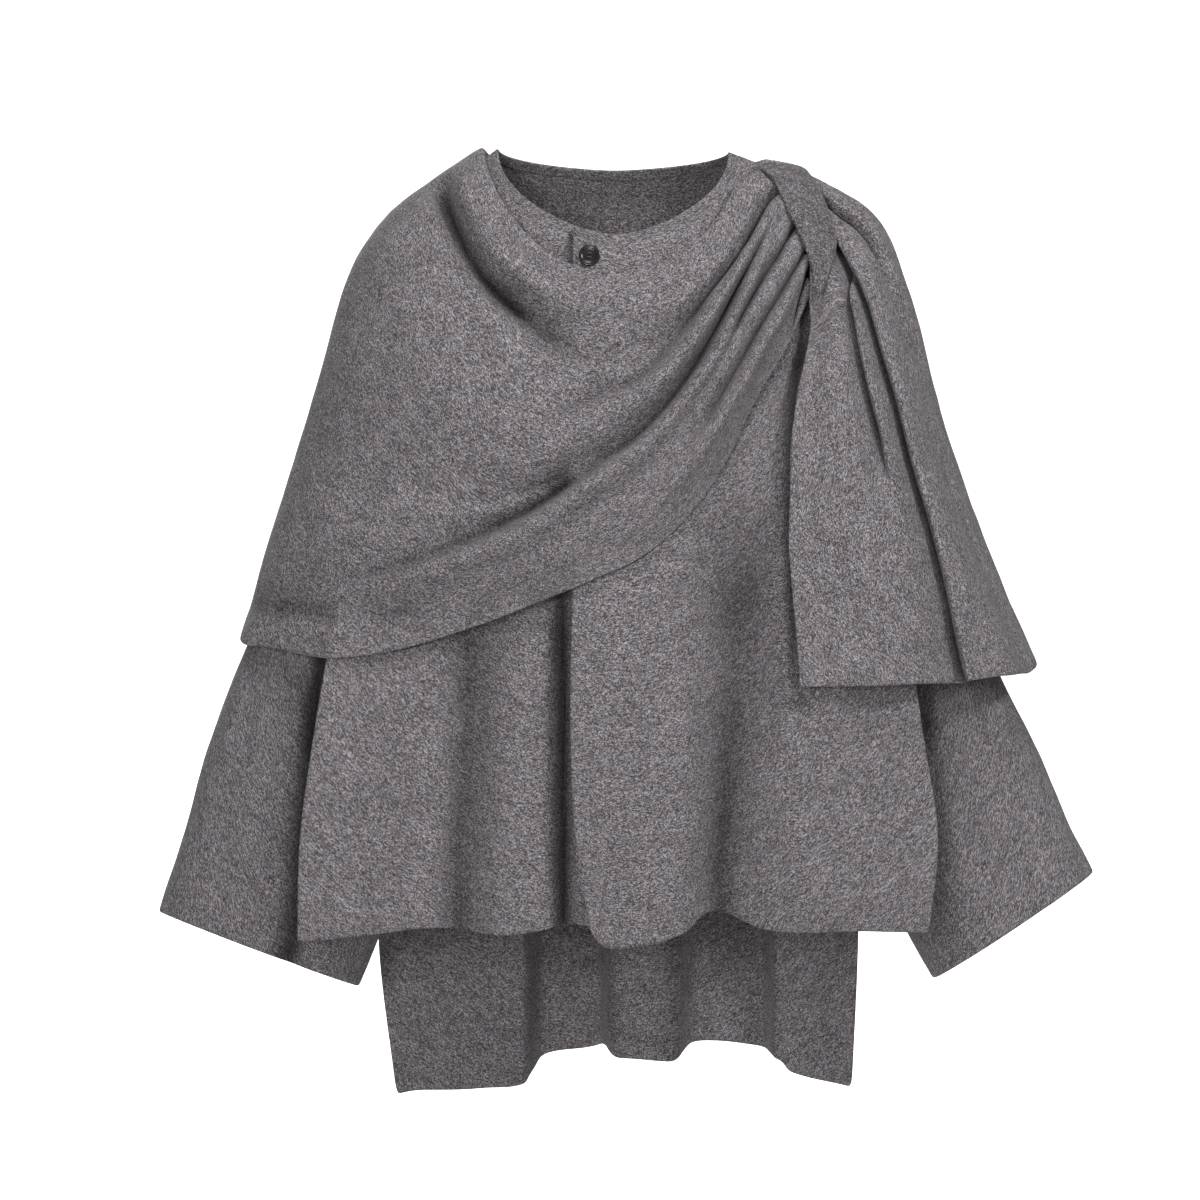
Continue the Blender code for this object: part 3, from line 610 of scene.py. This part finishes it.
def settle(points, under, share):
    # draws the cloth back, by its share, until it rests on what lies behind it, and never into it
    room = roomBehind(points, under)
    drawn = np.where(np.isnan(room), 0, np.clip(room - shawl["rest"], 0, shawl["restMost"]))[..., None]
    points[..., 1] += soften(drawn, shawl["restBlur"])[..., 0] * share
    for _ in range(3):
        inside = np.fmax(shawl["rest"] - roomBehind(points, under), 0)
        points[..., 1] -= np.maximum(soften(inside[..., None], shawl["pushBlur"])[..., 0], inside)


def squareTo(points, closed=False):
    # directions square to the sheet; on a tube the last column lies on the first
    if closed:
        points = np.concatenate([points[:, -2:-1], points, points[:, 1:2]], axis=1)
    normal = unit(np.cross(np.gradient(points, axis=1), np.gradient(points, axis=0)))
    return normal[:, 1:-1] if closed else normal


def unevenness(points, seed, closed=False):
    # a soft, uneven lie of the cloth
    shift = Vector((seed * 3.1, seed * 1.7, 0))
    lift = [noise.fractal(Vector(point) / knit["rippleSize"] + shift, *knit["rippleMix"])
            for point in points.reshape(-1, 3)]
    lift = np.reshape(lift, points.shape[:2]) * knit["ripple"]
    return points + squareTo(points, closed) * lift[..., None]


def clothPlaces(points, coursesDown):
    # how far each point lies along the courses and the wales, in metres, and the width and length
    u, v = lengthAlong(points, 1), lengthAlong(points, 0)
    width, length = u[:, -1].max(), v[-1].max()
    if coursesDown:
        places = np.stack([v - v[[len(v) // 2]], -u], -1)
    else:
        places = np.stack([u - u[:, [points.shape[1] // 2]], -v], -1)
    return places, width, length


def soften(values, times, closed=False):
    # the values smoothed over the sheet
    for _ in range(times):
        wide = np.pad(values, ((1, 1), (0, 0), (0, 0)), mode="edge")
        if closed:
            wide = np.concatenate([wide[:, -2:-1], wide, wide[:, 1:2]], axis=1)
        else:
            wide = np.pad(wide, ((0, 0), (1, 1), (0, 0)), mode="edge")
        values = (wide[:-2, 1:-1] + wide[2:, 1:-1] + wide[1:-1, :-2] + wide[1:-1, 2:]) / 4
    return values


def creaseShadeMask(points, closed):
    # how deep each point lies in a crease, from 0 to 1, as the mask for the painted shade in the creases
    normal = squareTo(points, closed)
    outward = points - points.mean(axis=1, keepdims=True) if closed else points * (1, 1, 0)
    normal *= np.sign((normal * outward).sum())
    inward = ((soften(points, knit["creaseBlur"], closed) - points) * normal).sum(-1)
    deep = soften(np.maximum(inward, 0)[..., None], 1, closed)[..., 0]
    deep[:3], deep[-3:] = deep[3], deep[-4]
    if not closed:
        deep[:, :2], deep[:, -2:] = deep[:, 2:3], deep[:, -3:-2]
    return np.clip(deep / knit["creaseDepth"], 0, 1)


def openSeam(points):
    # the first row drawn back square to its line by the gap between two sewn edges
    line = unit(np.gradient(points[0], axis=0))
    inward = points[1] - points[0]
    inward -= line * (inward * line).sum(-1, keepdims=True)
    points[0] += unit(inward) * shawl["seam"]


def makeSheet(name, node, points, closed=False, coursesDown=False,
              material="body", wall=knit["wall"]):
    # a sheet of knit round a grid of points; closed means that its last column lies on its first
    places, width, length = clothPlaces(points, coursesDown)
    countDown, countAcross = points.shape[:2]
    cloth = bmesh.new()
    uv = cloth.loops.layers.uv.new("cloth")
    used = countAcross - 1 if closed else countAcross
    verts = [[cloth.verts.new(point) for point in row[:used]] for row in points.tolist()]
    for i in range(countDown - 1):
        for j in range(countAcross - 1):
            k = (j + 1) % used
            face = cloth.faces.new((verts[i][j], verts[i + 1][j], verts[i + 1][k], verts[i][k]))
            face.smooth = True
            corners = ((i, j), (i + 1, j), (i + 1, j + 1), (i, j + 1))
            for loop, corner in zip(face.loops, corners):
                loop[uv].uv = places[corner]
    mesh = bpy.data.meshes.new(name)
    cloth.to_mesh(mesh)
    cloth.free()
    # the crease attribute carries the mask for the painted shade in the creases
    crease = mesh.attributes.new("crease", "FLOAT", "POINT")
    crease.data.foreach_set("value", creaseShadeMask(points, closed)[:, :used].ravel())
    mesh.materials.append(knitMaterials[material])
    sheet = bpy.data.objects.new(name, mesh)
    bpy.context.scene.collection.objects.link(sheet)
    thick = sheet.modifiers.new("wall", "SOLIDIFY")
    thick.thickness = wall
    thick.offset = 0.0
    soft = sheet.modifiers.new("soft", "SUBSURF")
    soft.levels = 1
    soft.render_levels = 1
    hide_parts(node)
    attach(sheet, "root")
    print(f"{name}: {countDown} by {countAcross} points, cut {width:.3f} by {length:.3f} m")


# shader nodes

def plug(tree, node, inputs):
    # links each input from a socket, or sets it to a value
    for name, value in inputs.items():
        if isinstance(value, bpy.types.NodeSocket):
            tree.links.new(value, node.inputs[name])
        else:
            node.inputs[name].default_value = value


def addNode(tree, kind, inputs, **settings):
    # adds a node at the end of the row, and gives back its outputs
    made = tree.nodes.new("ShaderNode" + kind)
    made.location = (190 * len(tree.nodes), 0)
    for name, value in settings.items():
        setattr(made, name, value)
    plug(tree, made, inputs)
    return made.outputs


def calc(tree, operation, *values):
    return addNode(tree, "Math", dict(enumerate(values)), operation=operation)[0]


def scaled(tree, colour, factor):
    return addNode(tree, "VectorMath", {0: colour, "Scale": factor}, operation="SCALE")[0]


def spread(tree, value, low, high, to):
    inputs = {"Value": value, "From Min": low, "From Max": high, "To Min": to[0], "To Max": to[1]}
    return addNode(tree, "MapRange", inputs)[0]


def blend(tree, factor, a, b, kind="MIX"):
    return addNode(tree, "Mix", {0: factor, 6: a, 7: b}, data_type="RGBA", blend_type=kind)[2]


def countedIn(tree, place, size):
    # a place on the cloth, counted in features of a size (across, down)
    inputs = {0: place, 1: (1 / size[0], 1 / size[1], 1)}
    return addNode(tree, "VectorMath", inputs, operation="MULTIPLY")[0]


def clothNoise(tree, place, size, detail=2.0):
    inputs = {"Vector": countedIn(tree, place, size), "Scale": 1.0, "Detail": detail, "Roughness": 0.62}
    return addNode(tree, "TexNoise", inputs, noise_dimensions="2D")[0]


def addBump(tree, height, strength, depth):
    return addNode(tree, "Bump", {"Height": height, "Strength": strength, "Distance": depth})[0]


def newMaterial(name):
    material = bpy.data.materials.new(name)
    material.use_nodes = True
    return material, material.node_tree, material.node_tree.nodes["Principled BSDF"]


def newGroup(name, **outputs):
    # a shared effect that starts from a place on the cloth, in metres
    tree = bpy.data.node_groups.new(name, "ShaderNodeTree")
    tree.interface.new_socket("Place", in_out="INPUT", socket_type="NodeSocketVector")
    for output, kind in outputs.items():
        tree.interface.new_socket(output, in_out="OUTPUT", socket_type="NodeSocket" + kind)
    return tree, tree.nodes.new("NodeGroupInput").outputs["Place"], tree.nodes.new("NodeGroupOutput")


# the knit itself

knitLook = {
    "wale": 2.3 * mm,          # width of a column of stitches
    "course": 1.9 * mm,        # height of a stitch
    "slant": -1.5,             # how far a stitch's legs slant, in courses to a wale
    "waves": 0.35,             # how much each course stands out beside the wales
    "heights": (-0.4, 1.2),    # lowest and highest of the stitches, before they are scaled
    # sizes, across and down
    "fleck": (0.84 * mm, 0.62 * mm),   # specks of light and dark fibre
    "streak": (5 * mm, 1.6 * mm),
    "patch": (26 * mm, 11 * mm),       # soft lighter and darker patches
    "tint": (9 * mm, 7 * mm),
    "nap": (1.3 * mm, 0.8 * mm),       # the brushed surface
    "streaks": 0.8,            # how much the streaks count beside the specks
    "dark": (0.036, 0.033, 0.0355, 1),
    "middle": (0.106, 0.098, 0.102, 1),
    "light": (0.30, 0.283, 0.293, 1),
    "darkUpTo": (0.42, 0.85),  # where the specks and streaks together turn from dark to middle
    "lightFrom": (0.95, 1.4),
    "patchShade": (0.83, 1.10),
    "warm": (1.04, 0.995, 0.98, 1),
    "cool": (0.97, 0.99, 1.03, 1),
    "groove": 0.80,            # how dark the painted shade in the gaps between the stitches is
    # how much lighter the painted light on the stitches' crowns is
    "crown": 1.14,
    "creaseShade": 0.10,       # how dark the painted shade in the deepest creases is
    "bump": 0.4,
    "bumpDepth": 0.5 * mm,
    "stitchBump": 0.5,         # how much the stitches count beside the nap
}


def heatherGroup():
    # the colours and the nap of a brushed heather yarn
    tree, place, end = newGroup("heatherYarn", Color="Color", Fibre="Float")
    inputs = {"Vector": countedIn(tree, place, knitLook["fleck"]), "Scale": 1.0}
    cells = addNode(tree, "TexVoronoi", inputs, voronoi_dimensions="2D")
    fleck = addNode(tree, "SeparateColor", {0: cells["Color"]})[0]
    streak = clothNoise(tree, place, knitLook["streak"])
    uneven = calc(tree, "ADD", fleck, calc(tree, "MULTIPLY", streak, knitLook["streaks"]))
    dark = spread(tree, uneven, *knitLook["darkUpTo"], (0, 1))
    colour = blend(tree, dark, knitLook["dark"], knitLook["middle"])
    bright = spread(tree, uneven, *knitLook["lightFrom"], (0, 1))
    colour = blend(tree, bright, colour, knitLook["light"])
    patch = clothNoise(tree, place, knitLook["patch"], 3.0)
    shaded = scaled(tree, colour, spread(tree, patch, 0.3, 0.7, knitLook["patchShade"]))
    hue = spread(tree, clothNoise(tree, place, knitLook["tint"]), 0.35, 0.65, (0, 1))
    tone = blend(tree, hue, knitLook["warm"], knitLook["cool"])
    plug(tree, end, {"Color": blend(tree, 1.0, shaded, tone, "MULTIPLY"),
                     "Fibre": clothNoise(tree, place, knitLook["nap"])})
    return tree


def stitchGroup():
    # height of plain knit stitches: two slanting legs in each column, staggered by their slant
    tree, place, end = newGroup("knitStitch", Height="Float")
    parts = addNode(tree, "SeparateXYZ", {0: place})
    inColumn = calc(tree, "FRACT", calc(tree, "DIVIDE", parts[0], knitLook["wale"]))
    fromMiddle = calc(tree, "ABSOLUTE", calc(tree, "SUBTRACT", inColumn, 0.5))
    row = calc(tree, "DIVIDE", parts[1], knitLook["course"])
    slanted = calc(tree, "ADD", row, calc(tree, "MULTIPLY", fromMiddle, knitLook["slant"]))
    wave, leg = (calc(tree, "SINE", calc(tree, "MULTIPLY", value, 2 * math.pi))
                 for value in (slanted, fromMiddle))
    plug(tree, end, {"Height": calc(tree, "MULTIPLY_ADD", wave, knitLook["waves"], leg)})
    return tree


def knitMaterial(name, **changes):
    look = {**knitLook, **changes}
    material, tree, shader = newMaterial(name)
    place = addNode(tree, "UVMap", {}, uv_map="cloth")[0]
    yarn = addNode(tree, "Group", {0: place}, node_tree=groups["heather"])
    stitch = addNode(tree, "Group", {0: place}, node_tree=groups["stitch"])
    # painted shade darkens the gaps between the stitches and painted light brightens their crowns, and
    # painted shade darkens the cloth in its creases
    crown = spread(tree, stitch[0], *look["heights"], (look["groove"], look["crown"]))
    crease = addNode(tree, "Attribute", {}, attribute_name="crease")["Fac"]
    creaseShadeFactor = spread(tree, crease, 0, 1, (1, look["creaseShade"]))
    height = calc(tree, "ADD", calc(tree, "MULTIPLY", stitch[0], look["stitchBump"]), yarn["Fibre"])
    plug(tree, shader, {
        "Base Color": scaled(tree, yarn["Color"], calc(tree, "MULTIPLY", crown, creaseShadeFactor)),
        "Normal": addBump(tree, height, look["bump"], look["bumpDepth"]),
        "Roughness": 0.95,
        "Specular IOR Level": 0.15,
        "Sheen Weight": 0.06,
        "Sheen Roughness": 0.5,
    })
    return material


groups = {"heather": heatherGroup(), "stitch": stitchGroup()}
knitMaterials = {
    "body": knitMaterial("heatherKnit"),
    # the loop's ribs get deep painted shade between them; the loop and the trim get no painted shade in
    # their creases, and the back panel gets less of it than the body
    "strap": knitMaterial("ribbedKnit", groove=0.30, crown=1.0, creaseShade=1.0),
    "trim": knitMaterial("trimKnit", groove=0.74, crown=1.08, creaseShade=1.0),
    "back": knitMaterial("hangingKnit", creaseShade=0.55),
}
print("knit ready")


laid = {}                      # the sheets laid so far, for the next ones to rest on


def rowsDown(panel):
    even = np.linspace(0, lastRow(panel["rows"]), panel["points"][0])
    return np.r_[0, body["edgeRow"], even[1:]]


def makeBack():
    hem = float(lastRow(back["rows"]))
    across = evenColumns(lambda at: backPoints(np.full(at.shape, hem), at), back["points"][1])
    points = backPoints(*np.meshgrid(rowsDown(back), across, indexing="ij"))
    makeSheet("backPanel", "back", unevenness(points, 1), material="back")


def makeFronts():
    for name, node, side in (("leftFront", "front_left", 1), ("rightFront", "front_right", -1)):
        across = np.linspace(0, 1, front["points"][1])
        points = frontPoints(side, *np.meshgrid(rowsDown(front), across, indexing="ij"))
        laid[name] = unevenness(points, 2 + side)
        makeSheet(name, node, laid[name])


def makeSleeves():
    for name, which, side in (("leftSleeve", "left", 1), ("rightSleeve", "right", -1)):
        # around runs from the inner side, where the sleeve is sewn, back to it
        down, around = grid(lastRow(sleeves[which]), (-0.5, 0.5), sleeves["points"])
        points = sleevePoints(which, side, down, around)
        laid[name] = unevenness(points, 5 + side, closed=True)
        makeSheet(name, "sleeve_" + which, laid[name], closed=True)


def rollRadius(turn):
    # the roll along the shawl's neck edge is fuller at the front and the back than on the shoulders
    low, high = shawl["neckRoll"]
    return mix(low, high, np.abs(np.sin(np.radians(turn))) ** 1.5)


def risingOver(value, startAndWidth):
    start, width = startAndWidth
    return ease((value - start) / width)


def shawlStretch(which):
    # a stretch of the shawl, its neck edge turned inwards in a soft roll as high as the form's edge
    ribs = shawl[which + "Ribs"]
    along, part = grid(lastRow(ribs), (0, 1), shawl["points"][which])
    edge = along[:, :1]
    radius = rollRadius(through(ribs["neckTurn"], edge))
    top, low = (shawlPoints(ribs, edge, np.full_like(radius, fall), ())
                for fall in (0, shawl["rollStart"]))
    start = shawl["rollStart"] * radius / np.linalg.norm(low - top, axis=-1)
    points = shawlPoints(ribs, along, mix(start, 1, part), shawl[which + "Folds"])
    points = unevenness(points, 9)   # one seed for both stretches, so that they meet
    if which == "front":
        last, width = shawl["untilRib"]
        near = risingOver(part, shawl["lowerEdge"]) * ease((last - along) / width)
        settle(points, surfaceOf(*laid.values()), near)
    up = unit(points[:, :1] - points[:, 2:3])
    out = formNormal(through(ribs["neckTurn"], edge), through(ribs["neckRing"], edge))
    out = unit(out - up * (out * up).sum(-1, keepdims=True))
    radius = radius[..., None]
    angle = np.radians(np.linspace(180, 0, 8))[None, 1:-1, None]
    curl = points[:, :1] + radius * (out * (np.cos(angle) - 1) + up * np.sin(angle))
    fall = np.linspace(shawl["turnedIn"], 0, 3)[None, :, None]
    tuck = points[:, :1] - out * 2 * radius - up * fall
    return np.concatenate([tuck, curl, points], axis=1)


def makeShawl():
    points = shawlStretch("front")
    makeSheet("shawlFront", "shawl_front", points, coursesDown=True)
    points = shawlStretch("back")
    openSeam(points)
    makeSheet("shawlBack", "shawl_back", points, coursesDown=True)
    down, across = grid(lastRow(shawl["tailRows"]), (0, 1), shawl["points"]["tail"])
    points = unevenness(tailPoints(down, across), 12)
    near = np.maximum(risingOver(across, shawl["tailInner"]),
                      shawl["tailHemShare"] * risingOver(down, shawl["tailHem"]))
    settle(points, surfaceOf(*laid.values()), near)
    openSeam(points)
    makeSheet("shawlTail", "shawl_tail", points, coursesDown=True)


def makeStrap():
    points = strapPoints(*grid(lastRow(strap["rows"]), (0, 1), strap["points"]))
    makeSheet("strapLoop", "strap", points, material="strap")


def makeTrim():
    # the trim is a strip folded along its top: up the outside, over, and down the inside
    turns = np.radians(np.linspace(0, 180, 5))
    top = trim["height"] - trim["doubled"]
    height = np.r_[0, trim["edge"], top * 0.5, top + trim["doubled"] * np.sin(turns), top * 0.5,
                   trim["edge"], 0]
    lift = trim["doubled"] * np.r_[1, 1, 1, np.cos(turns), -1, -1, -1]
    around = np.linspace(0, 1, trim["points"])[:, None] + np.zeros_like(height)
    points = trimPoints(around, height + np.zeros_like(around), lift + np.zeros_like(around))
    makeSheet("neckTrim", "neckband", points, coursesDown=True, material="trim",
              wall=trim["wall"])


# the button

buttonFacts = {
    "radius": 8.25 * mm,
    "thick": 3.2 * mm,
    "rim": 2.1 * mm,
    "slope": 0.9 * mm,         # width of the slope from the rim down to the dish
    "dish": 0.8 * mm,
    "edge": 0.55 * mm,         # its edges are rounded by this
    "holeRadius": 1.0 * mm,
    "holeSpacing": 3.4 * mm,
    "thread": 0.45 * mm,       # half its thickness
    "barTop": 0.8,             # part of its length over which a bar of thread lies level
    "barRise": 0.7,            # how far it stands off the dish, in its half thicknesses
    "row": 0.38,               # where on the left front its middle lies
    "atX": -20 * mm,
    "clothHalf": 1.25 * mm,
    "seat": 0.3 * mm,          # room between the button and the cloth
}


def addOnly(addPrimitive, **settings):
    # adds a primitive with nothing else selected, and gives it back
    if bpy.context.object and bpy.context.object.mode != "OBJECT":
        bpy.ops.object.mode_set(mode="OBJECT")
    bpy.ops.object.select_all(action="DESELECT")
    addPrimitive(**settings)
    return bpy.context.object


def pickNone(kind):
    # nothing picked on the active mesh, and its faces or edges ready to be
    bpy.ops.object.mode_set(mode="EDIT")
    bpy.ops.mesh.select_mode(type=kind)
    bpy.ops.mesh.select_all(action="DESELECT")
    bpy.ops.object.mode_set(mode="OBJECT")


def buttonPlace():
    # a place flat on the left front, at the button's row and place across
    down = np.full(3, buttonFacts["row"]) + np.array([0, 0.1, 0])
    across = acrossAt(front["rows"], down, np.full(3, buttonFacts["atX"])) + np.array([0, 0, 0.02])
    points = bodyPoints(front["rows"], down, across)
    points[:, 1] -= lap(down, across) + body["shoulderSeam"] / 2
    here, lower, beside = (Vector(point) for point in points)
    out = (lower - here).cross(beside - here).normalized()
    out = out if out.y < 0 else -out
    lift = buttonFacts["clothHalf"] + buttonFacts["seat"] + buttonFacts["thick"] / 2
    return Matrix.Translation(here + out * lift) @ out.to_track_quat("Z", "Y").to_matrix().to_4x4()


def drillHoles(piece):
    pitch = buttonFacts["holeSpacing"] / 2
    for x, y in ((-pitch, -pitch), (pitch, -pitch), (pitch, pitch), (-pitch, pitch)):
        drill = addOnly(bpy.ops.mesh.primitive_cylinder_add, vertices=24, radius=buttonFacts["holeRadius"],
                        depth=4 * buttonFacts["thick"], location=(x, y, 0))
        cut = piece.modifiers.new("hole", "BOOLEAN")
        cut.object = drill
        cut.solver = "EXACT"
        bpy.context.view_layer.objects.active = piece
        bpy.ops.object.modifier_apply(modifier="hole")
        bpy.data.objects.remove(drill)


def sewThread(material):
    # two short bars of yarn, each from one hole up over the dish and down into the next
    pitch, low = buttonFacts["holeSpacing"] / 2, -buttonFacts["thick"] / 2
    high = buttonFacts["thick"] / 2 - buttonFacts["dish"] + buttonFacts["thread"] * buttonFacts["barRise"]
    turn = pitch * buttonFacts["barTop"]
    bars = []
    for y in (-pitch, pitch):
        bar = addOnly(bpy.ops.curve.primitive_bezier_curve_add)
        bar.data.dimensions = "3D"
        bar.data.bevel_depth = buttonFacts["thread"]
        bar.data.bevel_resolution = 2
        bar.data.use_fill_caps = True
        line = bar.data.splines[0].bezier_points
        line.add(2)
        for knot, (x, z) in zip(line, ((-pitch, low), (-turn, high), (turn, high), (pitch, low))):
            knot.co = (x, y, z)
            knot.handle_left_type = knot.handle_right_type = "AUTO"
        bpy.ops.object.convert(target="MESH")
        bar.data.materials.clear()
        bar.data.materials.append(material)
        bars.append(bar)
    return bars


def buttonPlastic():
    # black polished plastic with a fine grain of wear
    material, tree, shader = newMaterial("buttonPlastic")
    place = addNode(tree, "TexCoord", {})["Object"]
    cloudy = addNode(tree, "TexNoise", {"Vector": place, "Scale": 900, "Detail": 4})[0]
    plug(tree, shader, {
        "Base Color": blend(tree, cloudy, (0.004, 0.004, 0.0045, 1), (0.012, 0.0115, 0.012, 1)),
        "Roughness": spread(tree, cloudy, 0.3, 0.7, (0.20, 0.30)),
        "Normal": addBump(tree, cloudy, 0.15, 0.05 * mm),
    })
    return material


def threadYarn():
    # twisted dark sewing thread
    material, tree, shader = newMaterial("sewingThread")
    place = addNode(tree, "TexCoord", {})["Object"]
    twist = addNode(tree, "TexWave", {"Vector": place, "Scale": 900}, bands_direction="DIAGONAL")["Fac"]
    plug(tree, shader, {
        "Base Color": blend(tree, twist, (0.02, 0.02, 0.02, 1), (0.10, 0.10, 0.10, 1)),
        "Roughness": 0.8,
        "Normal": addBump(tree, twist, 0.4, 0.1 * mm),
    })
    return material


def makeButton():
    radius, thick = buttonFacts["radius"], buttonFacts["thick"]
    piece = addOnly(bpy.ops.mesh.primitive_cylinder_add, vertices=96, radius=radius, depth=thick,
                    location=(0, 0, 0))
    piece.name = "neckButton"
    pickNone("FACE")
    for face in piece.data.polygons:
        face.select = face.normal.z > 0.9
    bpy.ops.object.mode_set(mode="EDIT")
    bpy.ops.mesh.inset(thickness=buttonFacts["rim"])
    bpy.ops.mesh.inset(thickness=buttonFacts["slope"], depth=-buttonFacts["dish"])
    bpy.ops.object.mode_set(mode="OBJECT")
    softened = piece.modifiers.new("softened", "BEVEL")
    softened.width = buttonFacts["edge"]
    softened.segments = 4
    softened.limit_method = "ANGLE"
    softened.angle_limit = math.radians(25)
    bpy.context.view_layer.objects.active = piece
    bpy.ops.object.modifier_apply(modifier="softened")
    drillHoles(piece)
    piece.data.materials.append(buttonPlastic())
    bars = sewThread(threadYarn())
    bpy.ops.object.select_all(action="DESELECT")
    for part in (piece, *bars):
        part.select_set(True)
    bpy.context.view_layer.objects.active = piece
    bpy.ops.object.join()
    bpy.ops.object.shade_smooth_by_angle(angle=math.radians(35))
    piece.data.transform(buttonPlace())
    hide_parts("button")
    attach(piece, "root")
    print("button sewn on")


makeBack()
makeFronts()
makeSleeves()
makeShawl()
makeStrap()
makeTrim()
makeButton()

# light, floor and camera

studio = {
    "eye": (-0.012, -3.2, 0.0),
    "aim": (-0.012, 0.0, -0.354),
    "lens": 120.7,
    "floor": -0.98,
    "wall": 4.6,               # how far behind the garment the backdrop rises
    "paper": 14,               # width of the backdrop
    "bend": 0.9,
    "world": 0.15,             # the light that comes from all round
    "sky": 0.85,               # and how much brighter it looks than it shines
    "exposure": 0.28,
    "paperGlow": 0.85,         # how bright the paper is for the eye
    "lights": (
        # name, place, aim, size in metres, watts
        ("keyLight", (2.0, -2.1, 1.9), (0, 0, -0.3), 0.7, 62),
        ("frontLight", (-0.8, -3.4, 0.3), (0, 0, -0.5), 0.8, 56),
        ("topLight", (0.0, -0.9, 2.0), (0, 0, -0.3), 0.8, 25),
        ("backLight", (-0.6, 3.3, 1.0), (0, 0, -0.4), 0.8, 80),
    ),
}


def lookAt(thing, place, target):
    thing.location = place
    thing.rotation_euler = (Vector(target) - Vector(place)).to_track_quat("-Z", "Y").to_euler()


def paperMaterial():
    paper, tree, shader = newMaterial("paleFloor")
    place = addNode(tree, "TexCoord", {})["Object"]
    cloudy = addNode(tree, "TexNoise", {"Vector": place, "Scale": 3})[0]
    # lit from within for the eye only, so that it stays white and throws little light on the cloth
    seen = addNode(tree, "LightPath", {})["Is Camera Ray"]
    plug(tree, shader, {
        "Base Color": blend(tree, cloudy, (0.60, 0.60, 0.60, 1), (0.66, 0.66, 0.66, 1)),
        "Roughness": 0.9,
        "Emission Color": (1, 1, 1, 1),
        "Emission Strength": calc(tree, "MULTIPLY", seen, studio["paperGlow"]),
    })
    return paper


def makeStudio():
    # pale paper: a plane whose far edge is drawn up into a wall, with the bend rounded
    half = studio["paper"] / 2
    floor = addOnly(bpy.ops.mesh.primitive_plane_add, size=studio["paper"],
                    location=(0, studio["wall"] - half, studio["floor"]))
    floor.name = "floor"
    bpy.ops.object.transform_apply(location=True)
    pickNone("EDGE")
    for edge in floor.data.edges:
        ends = [floor.data.vertices[i].co for i in edge.vertices]
        edge.select = all(end.y > studio["wall"] - 0.01 for end in ends)
    bpy.ops.object.mode_set(mode="EDIT")
    bpy.ops.mesh.extrude_region_move(TRANSFORM_OT_translate={"value": (0, 0, half)})
    bpy.ops.object.mode_set(mode="OBJECT")
    bend = floor.modifiers.new("bend", "BEVEL")
    bend.width = studio["bend"]
    bend.segments = 24
    bpy.ops.object.modifier_apply(modifier="bend")
    bpy.ops.object.shade_smooth()
    floor.data.materials.append(paperMaterial())
    for name, place, aim, size, watts in studio["lights"]:
        bpy.ops.object.light_add(type="AREA")
        light = bpy.context.object
        light.name = name
        light.data.size = size
        light.data.energy = watts
        lookAt(light, place, aim)
    world = bpy.data.worlds.new("studio")
    world.use_nodes = True
    tree = world.node_tree
    seen = addNode(tree, "LightPath", {})["Is Camera Ray"]
    shown = calc(tree, "ADD", calc(tree, "MULTIPLY", seen, studio["sky"]), studio["world"])
    plug(tree, tree.nodes["Background"], {"Color": (1, 1, 1, 1), "Strength": shown})
    bpy.context.scene.world = world
    bpy.context.scene.view_settings.view_transform = "Standard"
    bpy.context.scene.view_settings.exposure = studio["exposure"]
    bpy.ops.object.camera_add()
    camera = bpy.context.object
    camera.data.lens = studio["lens"]
    lookAt(camera, studio["eye"], studio["aim"])
    bpy.context.scene.camera = camera


makeStudio()
print("studio ready")
